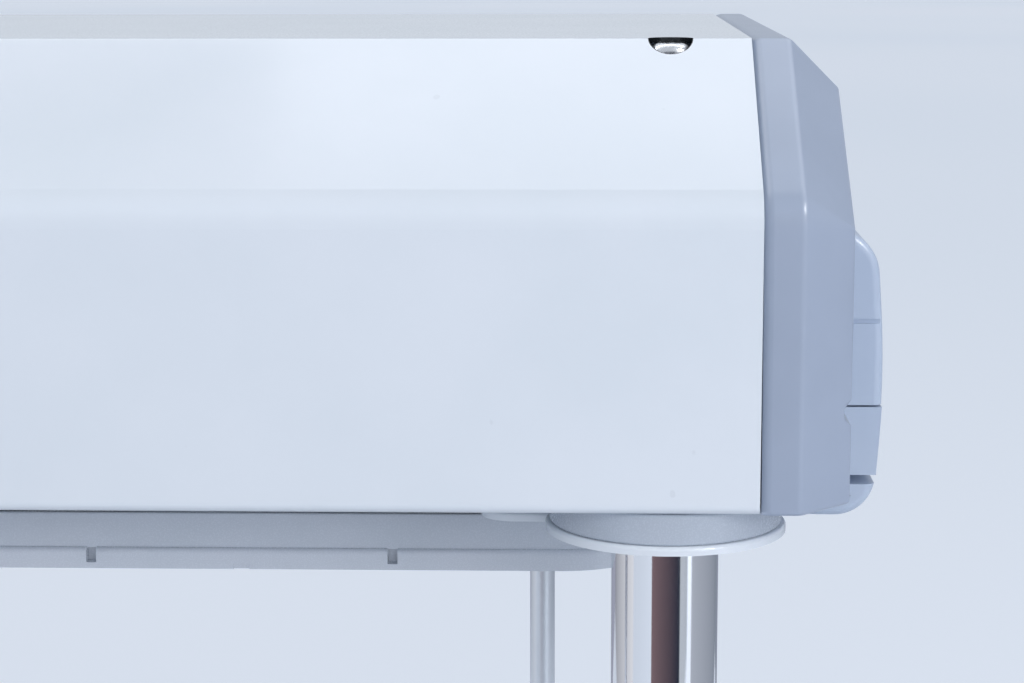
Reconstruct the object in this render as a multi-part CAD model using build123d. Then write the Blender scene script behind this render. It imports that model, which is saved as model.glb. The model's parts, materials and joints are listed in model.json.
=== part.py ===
from build123d import *
import math
import os

# Bench-top vacuum former for dental blanks. Millimetres, +Z up, origin at the bottom centre of the base,
# front towards -Y. A heater head stands on two columns over a base with a perforated platen. A carriage
# with the clamp frame slides on the columns and on one thinner rod behind the right-hand column, and is
# drawn raised under the head, where the blank is heated.

# Sheet covers and moulded walls
cover_sheet = 1.2
chassis_sheet = 2.0
plate_sheet = 2.0
hem_width = 12.0
hem_radius = 2.5
crease_radius = 1.6
fold_radius = 10.0
cap_wall = 2.5
cap_seam = 0.2
cap_strip = 9.0
cap_chamfer = 12.0
cap_lip_wall = 1.6
cap_lip_depth = 5.0
cap_boss_height = 40.0
cap_boss_spacing = 105.0
ear_margin = 9.0
chassis_side_gap = 0.5
fit = 0.25
running_fit = 0.05
seat_gap = 0.3

# Base
foot_height = 10.0
foot_radius = 12.0
foot_inset = 28.0
foot_side_inset = 33.0
foot_chamfer = 2.0
socket_height = 28.0
socket_inner = 21.0
socket_half_depth = 20.0
socket_chamfer = 3.0
rod_socket_height = 18.0
rod_socket_radius = 9.0
trim_wall = 2.0
trim_flange = 3.0
trim_height = 2.5
base_half_width = 125.0
base_depth = 340.0
base_height = 130.0
base_front_height = 52.0
base_slope_run = 55.0

# Head
head_depth = 285.0
head_setback = 50.0
head_front_height = 69.0
head_slope_rise = 34.0
head_slope_run = 51.0

# Columns and rods
post_radius = 12.5
post_side_inset = 20.0
post_setback = 29.0
post_spigot_radius = 7.0
post_spigot_length = 17.0
rod_radius = 4.0
rod_side_inset = 16.0
rod_setback = 240.0
rod_thread_radius = 3.0
rod_nut_height = 5.0

# Carriage
carriage_drop = 7.5
boss_radius = 27.0
boss_edge_radius = 1.0
lip_radius = 28.0
lip_edge_radius = 0.8
liner_wall = 2.5
plate_inner_reach = 26.5
plate_outer_reach = 13.0
plate_front_setback = 33.0
plate_back_setback = 250.0
plate_corner = 8.0
plate_flange = 10.0
rod_bush_radius = 7.0
rod_bush_length = 18.0
carriage_travel = 192.0
landing_gap = 3.0

# Clamp frame, centred on the forming axis
forming_setback = 147.5
clamp_depth = 165.0
clamp_corner = 25.0
clamp_opening_radius = 56.0
clamp_drop = 24.8
upper_frame_thickness = 2.2
lower_frame_thickness = 3.0
clamp_edge_radius = 1.4
clamp_collar_wall = 2.0
clamp_collar_height = 3.6
tab_thickness = 1.5
tab_height = 5.0
tab_half_length = 12.0
gasket_radius = 58.0
gasket_width = 4.0
gasket_depth = 1.4
index_notch_pitch = 38.0
index_notch_width = 2.5
index_notch_depth = 3.0
centre_mark_width = 4.0
centre_mark_depth = 0.6
guide_column_radius = 5.0
guide_column_inset = 17.0
guide_column_y = 40.0
column_spigot_radius = 3.0
spring_wire = 1.6

# Handles and carriage latch
handle_gap = 1.3
handle_thickness = 20.0
handle_top = 49.0
handle_bottom = 30.0
handle_front_setback = 125.0
handle_length = 60.0
handle_bulge = 2.8
handle_wall = 4.0
handle_inner_wall = 2.0
handle_foot_reach = 18.0
handle_foot_height = 13.0
handle_edge_radius = 2.5
handle_low_radius = 11.0
handle_top_radius = 13.0
handle_bulge_radius = 250.0
arm_margin = 6.0
handle_screw_depth = 9.0
handle_screw_inset = 11.0
groove_z = 21.2
groove_mouth = 6.0
groove_floor = 2.0
groove_depth = 1.8
latch_pivot_inset = 5.9
latch_pivot_z = 8.0
latch_hub_radius = 3.6
latch_spring_length = 4.0
latch_pocket_top = 30.0
latch_pin_radius = 2.0
latch_pad_top = 1.0
latch_pad_bottom = -21.0
latch_pad_gap = 0.6
latch_pad_depth = 11.0
latch_swing = 8.0
latch_nose_width = 30.0
grip_line_z = 24.0
grip_line_width = 1.2
grip_line_depth = 0.8

# Heater
reflector_sheet = 1.0
reflector_half = 74.0
reflector_height = 42.0
reflector_flange = 8.0
reflector_corner = 6.0
tube_count = 4
tube_pitch = 32.0
tube_radius = 6.0
tube_bore = 4.6
tube_height = 22.0
holder_thickness = 8.0
holder_height = 18.0
coil_radius = 3.2
lead_radius = 1.2
lead_length = 6.0
insulation_thickness = 20.0

# Fasteners
nut_across_flats = 22.0
nut_height = 9.0
washer_radius = 14.0
washer_thickness = 2.5
rod_nut_across_flats = 10.0
bracket_screw_radius = 2.5
bracket_head_radius = 4.9
bracket_head_height = 3.6
screw_radius = 2.0
screw_head_radius = 3.8
screw_head_height = 2.6
access_hole_radius = 5.2
bracket_side_inset = 19.0
bracket_half_width = 11.0
bracket_reach = 13.0
bracket_foot = 18.0
head_recess = 1.2

# Vacuum system
platen_radius = 50.0
platen_thickness = 4.0
platen_height = 11.0
platen_rings = 4
platen_ring_pitch = 10.5
platen_hole_radius = 1.3
platen_foot = 2.0
platen_foot_width = 5.5
platen_chamfer = 1.0
skirt_wall = 4.0
seal_ring_width = 4.0
seal_ring_height = 3.0
chamber_radius = 58.0
chamber_wall = 2.0
chamber_depth = 14.0
chamber_port_radius = 20.0
fan_radius = 60.0
fan_wall = 2.0
fan_height = 26.0
fan_seal_height = 4.8
fan_seal_width = 3.0
fan_outlet_half = 20.0
impeller_radius = 52.0
impeller_plate = 1.2
impeller_height = 14.0
blade_count = 9
blade_thickness = 1.4
blade_inner_radius = 22.0
blade_angle = 50.0
blade_lead = 0.36
impeller_gap = 3.0
motor_radius = 38.0
motor_mount_height = 6.0
motor_flange = 4.0
shaft_radius = 4.0
shaft_seat = 10.0

# Controls
panel_half_width = 78.0
panel_margin = 9.0
panel_thickness = 1.6
panel_corner = 5.0
rocker_length = 30.0
rocker_width = 21.0
rocker_x = 52.0
rocker_depth = 16.0
rocker_bezel = 2.0
rocker_rise = 3.0
rocker_tilt = 6.0
rocker_wall = 1.2
rocker_well = 5.5
rocker_play = 0.9
rocker_pin_radius = 1.0
dial_radius = 19.0
dial_height = 15.0
dial_shaft_radius = 3.0
dial_shaft_depth = 14.0
dial_gap = 0.6
dial_skirt_height = 3.0
dial_skirt_step = 4.0
dial_flutes = 12
dial_flute_radius = 2.5
dial_rest_turn = 135.0
timer_body_radius = 16.0
timer_body_depth = 24.0
timer_bush_radius = 5.0
lamp_radius = 3.0
lamp_y = 23.0
lamp_depth = 8.0
inlet_width = 27.0
inlet_height = 20.0
inlet_flange_width = 48.0
inlet_flange_height = 24.0
inlet_depth = 26.0
inlet_x = 38.0
inlet_z = 40.0
inlet_wall = 1.8
inlet_corner = 3.0
inlet_flange_thickness = 2.0
inlet_well_depth = 17.0
pin_pitch = 7.0
pin_drop = 2.0
pin_thickness = 2.0
pin_width = 4.0
vent_slot_length = 26.0
vent_slot_width = 4.0
vent_pitch = 9.0
vent_count = 9
vent_x = -20.0
vent_z = 78.0

# Places worked out from the sizes above
base_front_y = -base_depth / 2
base_back_y = base_depth / 2
frame_thickness = upper_frame_thickness + lower_frame_thickness
head_bottom_z = base_height + landing_gap + carriage_travel + clamp_drop + frame_thickness
head_height = head_front_height + head_slope_rise
head_front_y = base_front_y + head_setback
head_back_y = head_front_y + head_depth
cap_reach = cap_strip + cap_chamfer
cap_outer_x = base_half_width + cap_reach
chassis_half_width = base_half_width - cap_lip_depth - chassis_side_gap
foot_x = base_half_width - foot_side_inset
bracket_x = base_half_width - bracket_side_inset
post_x = base_half_width - post_side_inset
clamp_half_width = post_x
guide_column_x = clamp_half_width - guide_column_inset
rod_x = guide_column_x - rod_side_inset
plate_inner_x = guide_column_x - plate_inner_reach
plate_outer_x = post_x + plate_outer_reach
post_y = head_front_y + post_setback
rod_y = head_front_y + rod_setback
forming_y = head_front_y + forming_setback
plate_top_z = head_bottom_z - carriage_drop
plate_bottom_z = plate_top_z - plate_sheet
clamp_top_z = head_bottom_z - clamp_drop
clamp_split_z = clamp_top_z - upper_frame_thickness
clamp_front_y = head_front_y + forming_setback - clamp_depth / 2
chassis_z = head_bottom_z + cover_sheet
chassis_top_z = chassis_z + chassis_sheet
base_floor_z = foot_height
base_plate_z = base_floor_z + cover_sheet
base_floor_top_z = base_plate_z + chassis_sheet
deck_under_z = base_height - cover_sheet
handle_inner_x = cap_outer_x + handle_gap
handle_outer_x = handle_inner_x + handle_thickness
handle_front_y = head_front_y + handle_front_setback
handle_back_y = handle_front_y + handle_length
handle_screw_x = handle_inner_x - handle_screw_inset
latch_pivot_x = handle_inner_x + latch_pivot_inset
latch_axis_z = head_bottom_z + latch_pivot_z
latch_pad_sweep = (handle_outer_x - latch_pivot_x) * math.sin(math.radians(latch_swing)) + latch_pad_gap
latch_nose_z = head_bottom_z + groove_z
crease_y = head_front_y + head_slope_run
cap_boss_z = head_bottom_z + cap_boss_height
cap_boss_y = (forming_y - cap_boss_spacing / 2, forming_y + cap_boss_spacing / 2)
tube_z = head_bottom_z + tube_height
clamp_bottom_z = clamp_split_z - lower_frame_thickness
chamber_bottom_z = deck_under_z - chamber_depth
fan_top_z = chamber_bottom_z - fan_seal_height
fan_bottom_z = fan_top_z - fan_height
motor_bottom_z = base_floor_top_z + motor_mount_height
base_slope_rise = base_height - foot_height - base_front_height
panel_length = math.hypot(base_slope_rise, base_slope_run) - 2 * panel_margin
panel_plane = Plane(
    origin=(0, base_front_y + base_slope_run / 2, base_height - base_slope_rise / 2),
    x_dir=(1, 0, 0),
    z_dir=(0, -base_slope_rise, base_slope_run),
)
sides = (("left", -1), ("right", 1))


def outline(points, radii):
    """Closed outline with one corner radius per point."""
    return make_face(FilletPolyline(*points, radius=radii, close=True))


def along_x(face, start, end):
    """Solid of a Y-Z outline from one X to another."""
    return Pos(start, 0, 0) * extrude(Plane.YZ * face, amount=end - start)


def along_y(face, start, end):
    """Solid of an X-Z outline from one Y to another."""
    return Pos(0, end, 0) * extrude(Plane.XZ * face, amount=end - start)


def block(x_range, y_range, z_range):
    """Box between two values on each axis."""
    size = [high - low for low, high in (x_range, y_range, z_range)]
    middle = [(low + high) / 2 for low, high in (x_range, y_range, z_range)]
    return Pos(*middle) * Box(*size)


def disc(x, y, bottom, top, radius):
    """Upright cylinder between two heights."""
    return Pos(x, y, (bottom + top) / 2) * Cylinder(radius, top - bottom)


def cross_rod(x, y_range, z, radius):
    """Cylinder along Y between two values."""
    low, high = y_range
    return Pos(x, (low + high) / 2, z) * Rot(90, 0, 0) * Cylinder(radius, high - low)


def side_rod(x_range, y, z, radius):
    """Cylinder along X between two values."""
    low, high = x_range
    return Pos((low + high) / 2, y, z) * Rot(0, 90, 0) * Cylinder(radius, high - low)


def hexagon(x, y, bottom, across_flats, height, bore):
    """Hexagon nut with a plain bore."""
    nut = extrude(RegularPolygon(across_flats / math.sqrt(3), 6), amount=height)
    return Pos(x, y, bottom) * (nut - Pos(0, 0, height / 2) * Cylinder(bore, height))


def pan_screw(head_radius, head_height, shank_radius, shank_length):
    """Pan-head screw with its head above Z 0 and its shank below."""
    head = disc(0, 0, 0, head_height, head_radius)
    head = fillet(head.edges().group_by(Axis.Z)[-1], head_height * 2 / 3)
    return head + disc(0, 0, -shank_length, 0, shank_radius)


def mirrored(part, side):
    """The part as drawn for the right side, or its left-hand twin."""
    return part if side > 0 else mirror(part, about=Plane.YZ)


def join(parts):
    """One compound of separate solids."""
    return Compound(children=[solid for part in parts for solid in part.solids()])


# Cover outlines. Both covers start with an upright front, a slope and a level top. The inset moves every
# side in by one distance, apart from the bottom, which has its own.


def slope_corners(front_y, top_z, rise, run, inset):
    slope = math.hypot(rise, run)
    low = (front_y + inset, top_z - rise - inset * (slope - rise) / run)
    high = (front_y + run + inset * (slope - run) / rise, top_z - inset)
    return low, high


def head_outline(inset, bottom_inset, fold, crease, hem):
    low, high = slope_corners(
        head_front_y, head_bottom_z + head_height, head_slope_rise, head_slope_run, inset
    )
    middle = (head_front_y + head_back_y) / 2
    back_low = (2 * middle - low[0], low[1])
    back_high = (2 * middle - high[0], high[1])
    bottom = head_bottom_z + bottom_inset
    points = [(low[0], bottom), (back_low[0], bottom), back_low, back_high, high, low]
    return outline(points, [hem, hem, fold, crease, crease, fold])


def base_outline(inset, bottom_inset, fold, crease, hem):
    low, high = slope_corners(base_front_y, base_height, base_slope_rise, base_slope_run, inset)
    back = base_back_y - inset
    bottom = base_floor_z + bottom_inset
    points = [(low[0], bottom), (back, bottom), (back, high[1]), high, low]
    return outline(points, [hem, hem, crease, crease, fold])


def folded_cover(shape, front_y, back_y, bottom_z, half_width):
    """Sheet folded along an outline, with a hem turned in under its two long sides."""
    outer = shape(0, 0, fold_radius, crease_radius, hem_radius)
    inner = shape(
        cover_sheet,
        cover_sheet,
        fold_radius - cover_sheet,
        crease_radius - cover_sheet,
        hem_radius - cover_sheet,
    )
    cover = along_x(outer - inner, -half_width, half_width)
    gap = (front_y + hem_width, back_y - hem_width)
    return cover - block((-half_width, half_width), gap, (bottom_z, bottom_z + cover_sheet))


def cap_body(shape, start, strip_end, face_x, inset, chamfer, bottom_inset):
    """Strip of the cover's outline that ends in a chamfer on every side but the bottom."""
    rim = shape(inset, bottom_inset, fold_radius - inset, crease_radius, hem_radius / 2)
    face = shape(chamfer, bottom_inset, 1.0, 1.0, hem_radius / 2)
    strip = along_x(rim, start, strip_end)
    sections = [Pos(strip_end, 0, 0) * (Plane.YZ * rim), Pos(face_x, 0, 0) * (Plane.YZ * face)]
    return strip + loft(sections, ruled=True)


def end_cap(shape):
    """Moulded shell, open towards the cover, with a locating lip that fits inside the sheet."""
    start = base_half_width + cap_seam
    strip_end = base_half_width + cap_strip
    body = cap_body(shape, start, strip_end, cap_outer_x, 0, cap_chamfer, 0)
    wall_step = (math.sqrt(2) - 1) * cap_wall
    hollow = cap_body(
        shape,
        start,
        strip_end - wall_step,
        cap_outer_x - cap_wall,
        cap_wall,
        cap_chamfer + wall_step,
        cap_wall,
    )
    lip_outer = cover_sheet + fit
    lip_inner = lip_outer + cap_lip_wall
    lip = shape(lip_outer, lip_outer, fold_radius - lip_outer, crease_radius, hem_radius / 2) - shape(
        lip_inner, lip_inner, fold_radius - lip_inner, crease_radius, hem_radius / 2
    )
    lip_ring = along_x(lip, base_half_width - cap_lip_depth, start + cap_lip_wall)
    return body - hollow + lip_ring


# Head


def head_cover():
    cover = folded_cover(head_outline, head_front_y, head_back_y, head_bottom_z, base_half_width)
    top = head_bottom_z + head_height
    for _, side in sides:
        cover -= disc(side * bracket_x, crease_y, top - 2 * fold_radius, top + 1, access_hole_radius)
    slots = vent_slots(2 * vent_count, 0, head_bottom_z + head_front_height / 2)
    return cover - along_y(slots, head_back_y - 2 * cover_sheet, head_back_y + cover_sheet)


def vent_slots(count, x, z):
    """Row of upright slots, centred on X and Z."""
    slots = Sketch()
    for number in range(count):
        offset = (number - (count - 1) / 2) * vent_pitch
        slots += Pos(x + offset, z) * SlotOverall(vent_slot_length, vent_slot_width, rotation=90)
    return slots


def head_end_cap():
    """Cap of the head, with the groove that the carriage latch drops into."""
    cap = end_cap(head_outline)
    rib_z = (head_bottom_z + groove_z - groove_mouth / 2, head_bottom_z + groove_z + groove_mouth / 2)
    rib_y = (head_front_y + cap_chamfer + cap_wall, head_back_y - cap_chamfer - cap_wall)
    cap += block((cap_outer_x - cap_wall - groove_depth, cap_outer_x - cap_wall), rib_y, rib_z)
    groove = outline(
        [
            (cap_outer_x + groove_depth, head_bottom_z + groove_z - groove_mouth / 2),
            (cap_outer_x + groove_depth, head_bottom_z + groove_z + groove_mouth / 2),
            (cap_outer_x, head_bottom_z + groove_z + groove_mouth / 2),
            (cap_outer_x - groove_depth, head_bottom_z + groove_z + groove_floor / 2),
            (cap_outer_x - groove_depth, head_bottom_z + groove_z - groove_floor / 2),
            (cap_outer_x, head_bottom_z + groove_z - groove_mouth / 2),
        ],
        0,
    )
    cap -= along_y(groove, head_front_y, head_back_y)
    for y in cap_boss_y:
        cap += side_rod((chassis_half_width, cap_outer_x - cap_wall), y, cap_boss_z, 2 * screw_radius)
        cap -= side_rod((chassis_half_width, base_half_width + cap_strip), y, cap_boss_z, screw_radius)
    return cap


def head_chassis():
    """Pressed plate that closes the head from below, with a window for the heater and two upturned ears."""
    y_range = (head_front_y + hem_radius, head_back_y - hem_radius)
    plate = block((-chassis_half_width, chassis_half_width), y_range, (chassis_z, chassis_top_z))
    window = RectangleRounded(2 * reflector_half, 2 * reflector_half, reflector_corner)
    plate -= Pos(0, forming_y, chassis_z) * extrude(window, amount=chassis_sheet)
    ear_y = (cap_boss_y[0] - ear_margin, cap_boss_y[1] + ear_margin)
    for _, side in sides:
        ear_x = sorted((side * chassis_half_width, side * (chassis_half_width - chassis_sheet)))
        plate += block(ear_x, ear_y, (chassis_z, cap_boss_z + ear_margin))
        for y in cap_boss_y:
            plate -= side_rod(ear_x, y, cap_boss_z, screw_radius + running_fit)
        plate -= disc(side * post_x, post_y, chassis_z, chassis_top_z, post_spigot_radius + running_fit)
    return plate - disc(rod_x, rod_y, chassis_z, chassis_top_z, rod_thread_radius + running_fit)


def cover_bracket():
    """Z-shaped strip from the chassis to just under the crease of the cover."""
    tab_z = head_bottom_z + head_height - head_recess - bracket_head_height
    web_y = crease_y + bracket_reach
    strip = outline(
        [
            (web_y, chassis_top_z),
            (web_y + bracket_foot, chassis_top_z),
            (web_y + bracket_foot, chassis_top_z + plate_sheet),
            (web_y + plate_sheet, chassis_top_z + plate_sheet),
            (web_y + plate_sheet, tab_z),
            (crease_y - bracket_screw_radius - plate_sheet, tab_z),
            (crease_y - bracket_screw_radius - plate_sheet, tab_z - plate_sheet),
            (web_y, tab_z - plate_sheet),
        ],
        [plate_sheet, 0, 0, plate_sheet / 4, plate_sheet, 0, 0, plate_sheet / 4],
    )
    bracket = along_x(strip, bracket_x - bracket_half_width, bracket_x + bracket_half_width)
    hole_radius = bracket_screw_radius + running_fit
    return bracket - disc(bracket_x, crease_y, tab_z - plate_sheet, tab_z, hole_radius)


def bracket_screw():
    screw = pan_screw(bracket_head_radius, bracket_head_height, bracket_screw_radius, 3 * plate_sheet)
    tab_z = head_bottom_z + head_height - head_recess - bracket_head_height
    return Pos(bracket_x, crease_y, tab_z) * screw


def cap_screws():
    """Screws through the ears of the chassis into the bosses of the right-hand cap."""
    screw = pan_screw(screw_head_radius, screw_head_height, screw_radius - running_fit, 4 * screw_radius)
    ear_x = chassis_half_width - chassis_sheet
    return join([Pos(ear_x, y, cap_boss_z) * Rot(0, -90, 0) * screw for y in cap_boss_y])


def heater_reflector():
    """Inverted pan of polished sheet, with a flange that rests on the chassis."""
    outer = RectangleRounded(2 * reflector_half, 2 * reflector_half, reflector_corner)
    flange_half = reflector_half + reflector_flange
    inner_half = reflector_half - reflector_sheet
    flange = RectangleRounded(2 * flange_half, 2 * flange_half, reflector_corner)
    inner = RectangleRounded(2 * inner_half, 2 * inner_half, reflector_corner - reflector_sheet)
    pan = extrude(outer, amount=reflector_height) + extrude(flange, amount=reflector_sheet)
    pan -= extrude(inner, amount=reflector_height - reflector_sheet)
    return Pos(0, forming_y, chassis_top_z) * pan


def tube_holder():
    """Ceramic bar with a blind seat for each tube and a hole for its lead."""
    outer_x = reflector_half - reflector_sheet
    inner_x = outer_x - holder_thickness
    half_span = tube_pitch * tube_count / 2
    z_range = (tube_z - holder_height / 2, tube_z + holder_height / 2)
    bar = block((inner_x, outer_x), (forming_y - half_span, forming_y + half_span), z_range)
    bar = chamfer(bar.edges().filter_by(Axis.Z), holder_thickness / 4)
    for y in tube_places():
        bar -= side_rod((inner_x, inner_x + holder_thickness / 2), y, tube_z, tube_radius + running_fit)
        bar -= side_rod((inner_x, outer_x), y, tube_z, lead_radius + running_fit)
    return bar


def tube_places():
    return [forming_y + (number - (tube_count - 1) / 2) * tube_pitch for number in range(tube_count)]


def quartz_tubes():
    half = reflector_half - reflector_sheet - holder_thickness / 2
    span = (-half, half)
    tubes = []
    for y in tube_places():
        tubes.append(side_rod(span, y, tube_z, tube_radius) - side_rod(span, y, tube_z, tube_bore))
    return join(tubes)


def heating_coils():
    """Envelope of each wound coil, with the straight leads that its holders carry."""
    end = reflector_half - reflector_sheet
    wound = end - holder_thickness - lead_length
    coils = []
    for y in tube_places():
        coil = side_rod((-wound, wound), y, tube_z, coil_radius)
        coils.append(coil + side_rod((-end, end), y, tube_z, lead_radius))
    return join(coils)


def heater_insulation():
    half = reflector_half - reflector_corner
    top = chassis_top_z + reflector_height
    y_range = (forming_y - half, forming_y + half)
    return block((-half, half), y_range, (top, top + insulation_thickness))


def post():
    """Column with a shouldered spigot that passes through the chassis."""
    spigot_top = chassis_top_z + post_spigot_length
    shaft = disc(post_x, post_y, base_floor_top_z, chassis_z, post_radius)
    return shaft + disc(post_x, post_y, chassis_z, spigot_top, post_spigot_radius)


def post_nut():
    washer = disc(post_x, post_y, chassis_top_z, chassis_top_z + washer_thickness, washer_radius)
    washer -= disc(
        post_x, post_y, chassis_top_z, chassis_top_z + washer_thickness, post_spigot_radius + running_fit
    )
    bottom = chassis_top_z + washer_thickness
    return washer + hexagon(
        post_x, post_y, bottom, nut_across_flats, nut_height, post_spigot_radius + running_fit
    )


def guide_rod():
    shaft = disc(rod_x, rod_y, base_floor_top_z, chassis_z, rod_radius)
    return shaft + disc(rod_x, rod_y, chassis_z, chassis_top_z + rod_nut_height, rod_thread_radius)


def rod_nut():
    bore = rod_thread_radius + running_fit
    return hexagon(rod_x, rod_y, chassis_top_z, rod_nut_across_flats, rod_nut_height, bore)


# Carriage


def carriage_plate():
    """Plate that runs back from the column, with a round lobe, an outboard arm and a stiffening flange."""
    front_y = head_front_y + plate_front_setback
    back_y = head_front_y + plate_back_setback
    shape = outline(
        [
            (plate_outer_x, front_y),
            (plate_outer_x, back_y),
            (plate_inner_x, back_y),
            (plate_inner_x, front_y),
        ],
        [0, plate_corner, plate_corner, plate_corner],
    )
    shape += Pos(post_x, post_y) * Circle(lip_radius)
    arm_x = (plate_outer_x + handle_inner_x - seat_gap) / 2
    arm_width = handle_inner_x - seat_gap - plate_outer_x
    arm = Rectangle(arm_width + 2 * plate_sheet, handle_length - 2 * arm_margin)
    shape += Pos(arm_x - plate_sheet, (handle_front_y + handle_back_y) / 2) * arm
    plate = Pos(0, 0, plate_bottom_z) * extrude(shape, amount=plate_sheet)
    plate = fillet(plate.edges().group_by(Axis.Z)[-1], lip_edge_radius)
    flange_y = (post_y + lip_radius + plate_corner, back_y - plate_corner)
    flange_z = (plate_bottom_z - plate_flange, plate_bottom_z)
    plate += block((plate_outer_x - plate_sheet, plate_outer_x), flange_y, flange_z)
    hole_z = (plate_bottom_z, plate_top_z)
    plate -= disc(post_x, post_y, *hole_z, post_radius + running_fit + liner_wall + running_fit)
    for y in guide_column_places():
        plate -= disc(guide_column_x, y, *hole_z, column_spigot_radius + running_fit)
    for y in handle_screw_places():
        plate -= disc(handle_screw_x, y, *hole_z, screw_radius + running_fit)
    return plate


def guided_plate():
    """Carriage plate with the hole for the bush of the rear rod."""
    return carriage_plate() - disc(
        rod_x, rod_y, plate_bottom_z, plate_top_z, rod_bush_radius + running_fit
    )


def guide_column_places():
    return [forming_y - guide_column_y, forming_y + guide_column_y]


def handle_screw_places():
    middle = (handle_front_y + handle_back_y) / 2
    return [middle - handle_length / 4, middle + handle_length / 4]


def post_bushing():
    """Round housing that stands on the lobe of the plate."""
    top = head_bottom_z - seat_gap
    housing = disc(post_x, post_y, plate_top_z, top, boss_radius)
    housing = fillet(housing.edges().group_by(Axis.Z)[-1], boss_edge_radius)
    return housing - disc(post_x, post_y, plate_top_z, top, post_radius + liner_wall + 2 * running_fit)


def bushing_liner():
    top = head_bottom_z - seat_gap
    sleeve = disc(post_x, post_y, plate_bottom_z, top, post_radius + running_fit + liner_wall)
    return sleeve - disc(post_x, post_y, plate_bottom_z, top, post_radius + running_fit)


def rod_bushing():
    """Flanged bush on the rear rod."""
    bottom = plate_top_z - rod_bush_length
    top = plate_top_z + plate_sheet
    bush = disc(rod_x, rod_y, bottom, top, rod_bush_radius)
    bush += disc(rod_x, rod_y, plate_top_z, top, rod_bush_radius + plate_sheet)
    return bush - disc(rod_x, rod_y, bottom, top, rod_radius + running_fit)


def guide_columns():
    """Shouldered columns from the lower clamp frame to the carriage plates, with spigots riveted flush."""
    columns = []
    for _, side in sides:
        for y in guide_column_places():
            x = side * guide_column_x
            column = disc(x, y, clamp_split_z, plate_bottom_z, guide_column_radius)
            column += disc(x, y, clamp_bottom_z, plate_top_z, column_spigot_radius)
            columns.append(column)
    return join(columns)


def clamp_springs():
    """Envelope of each coil spring between the upper clamp frame and the carriage plates."""
    springs = []
    inner = guide_column_radius + 2 * seat_gap
    for _, side in sides:
        for y in guide_column_places():
            spring = disc(side * guide_column_x, y, clamp_top_z, plate_bottom_z, inner + spring_wire)
            spring -= disc(side * guide_column_x, y, clamp_top_z, plate_bottom_z, inner)
            springs.append(spring)
    return join(springs)


def frame_blank(bottom, thickness):
    """Rounded plate with the round window for the blank."""
    shape = RectangleRounded(2 * clamp_half_width, clamp_depth, clamp_corner) - Circle(clamp_opening_radius)
    return Pos(0, forming_y, bottom) * extrude(shape, amount=thickness)


def front_notch(x, width, depth, bottom, top):
    """Cut in the front edge of a clamp frame."""
    return block((x - width / 2, x + width / 2), (clamp_front_y, clamp_front_y + depth), (bottom, top))


def index_notches(bottom, top):
    """Two notches in the front edge, which centre the blank by eye."""
    places = [side * index_notch_pitch for _, side in sides]
    return [front_notch(x, index_notch_width, index_notch_depth, bottom, top) for x in places]


def lower_clamp_frame():
    frame = frame_blank(clamp_bottom_z, lower_frame_thickness)
    groove = Circle(gasket_radius + gasket_width) - Circle(gasket_radius)
    frame -= Pos(0, forming_y, clamp_split_z - gasket_depth) * extrude(groove, amount=gasket_depth)
    middle_z = clamp_split_z - lower_frame_thickness / 2
    for cut in index_notches(middle_z, clamp_split_z):
        frame -= cut
    frame -= front_notch(0, centre_mark_width, centre_mark_depth, clamp_bottom_z, middle_z)
    for _, side in sides:
        for y in guide_column_places():
            x = side * guide_column_x
            frame -= disc(x, y, clamp_bottom_z, clamp_split_z, column_spigot_radius + running_fit)
    return frame


def frame_gasket():
    ring = Circle(gasket_radius + gasket_width - running_fit) - Circle(gasket_radius + running_fit)
    return Pos(0, forming_y, clamp_split_z - gasket_depth) * extrude(ring, amount=gasket_depth)


def upper_clamp_frame():
    """Frame that lifts off the lower one, with a collar round its window and a raised tab on each side."""
    frame = frame_blank(clamp_split_z, upper_frame_thickness)
    frame = fillet(frame.edges().group_by(Axis.Z)[-1], clamp_edge_radius)
    collar_top = clamp_top_z + clamp_collar_height
    collar = disc(0, forming_y, clamp_split_z, collar_top, clamp_opening_radius + clamp_collar_wall)
    collar -= disc(0, forming_y, clamp_split_z, collar_top, clamp_opening_radius)
    frame += fillet(collar.edges().group_by(Axis.Z)[-1], clamp_collar_wall / 3)
    for cut in index_notches(clamp_split_z, clamp_top_z):
        frame -= cut
    for _, side in sides:
        tab_x = sorted((side * clamp_half_width, side * (clamp_half_width - tab_thickness)))
        tab_y = (forming_y - tab_half_length, forming_y + tab_half_length)
        tab = block(tab_x, tab_y, (clamp_split_z, clamp_top_z + tab_height))
        frame += fillet(tab.edges().group_by(Axis.Z)[-1].filter_by(Axis.Y), tab_thickness / 3)
        for y in guide_column_places():
            x = side * guide_column_x
            frame -= disc(x, y, clamp_split_z, clamp_top_z, guide_column_radius + running_fit)
    return frame


# Handle and latch, drawn for the right side. Heights here are from the bottom of the head.


def handle_outline():
    top = head_bottom_z + handle_top
    bottom = head_bottom_z - handle_bottom
    shoulder_x = handle_outer_x - handle_bulge
    return outline(
        [
            (handle_inner_x, bottom),
            (shoulder_x, bottom),
            (handle_outer_x, (top + bottom) / 2),
            (shoulder_x, top),
            (handle_inner_x, top),
        ],
        [handle_edge_radius, handle_low_radius, handle_bulge_radius, handle_top_radius, handle_edge_radius],
    )


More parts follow.
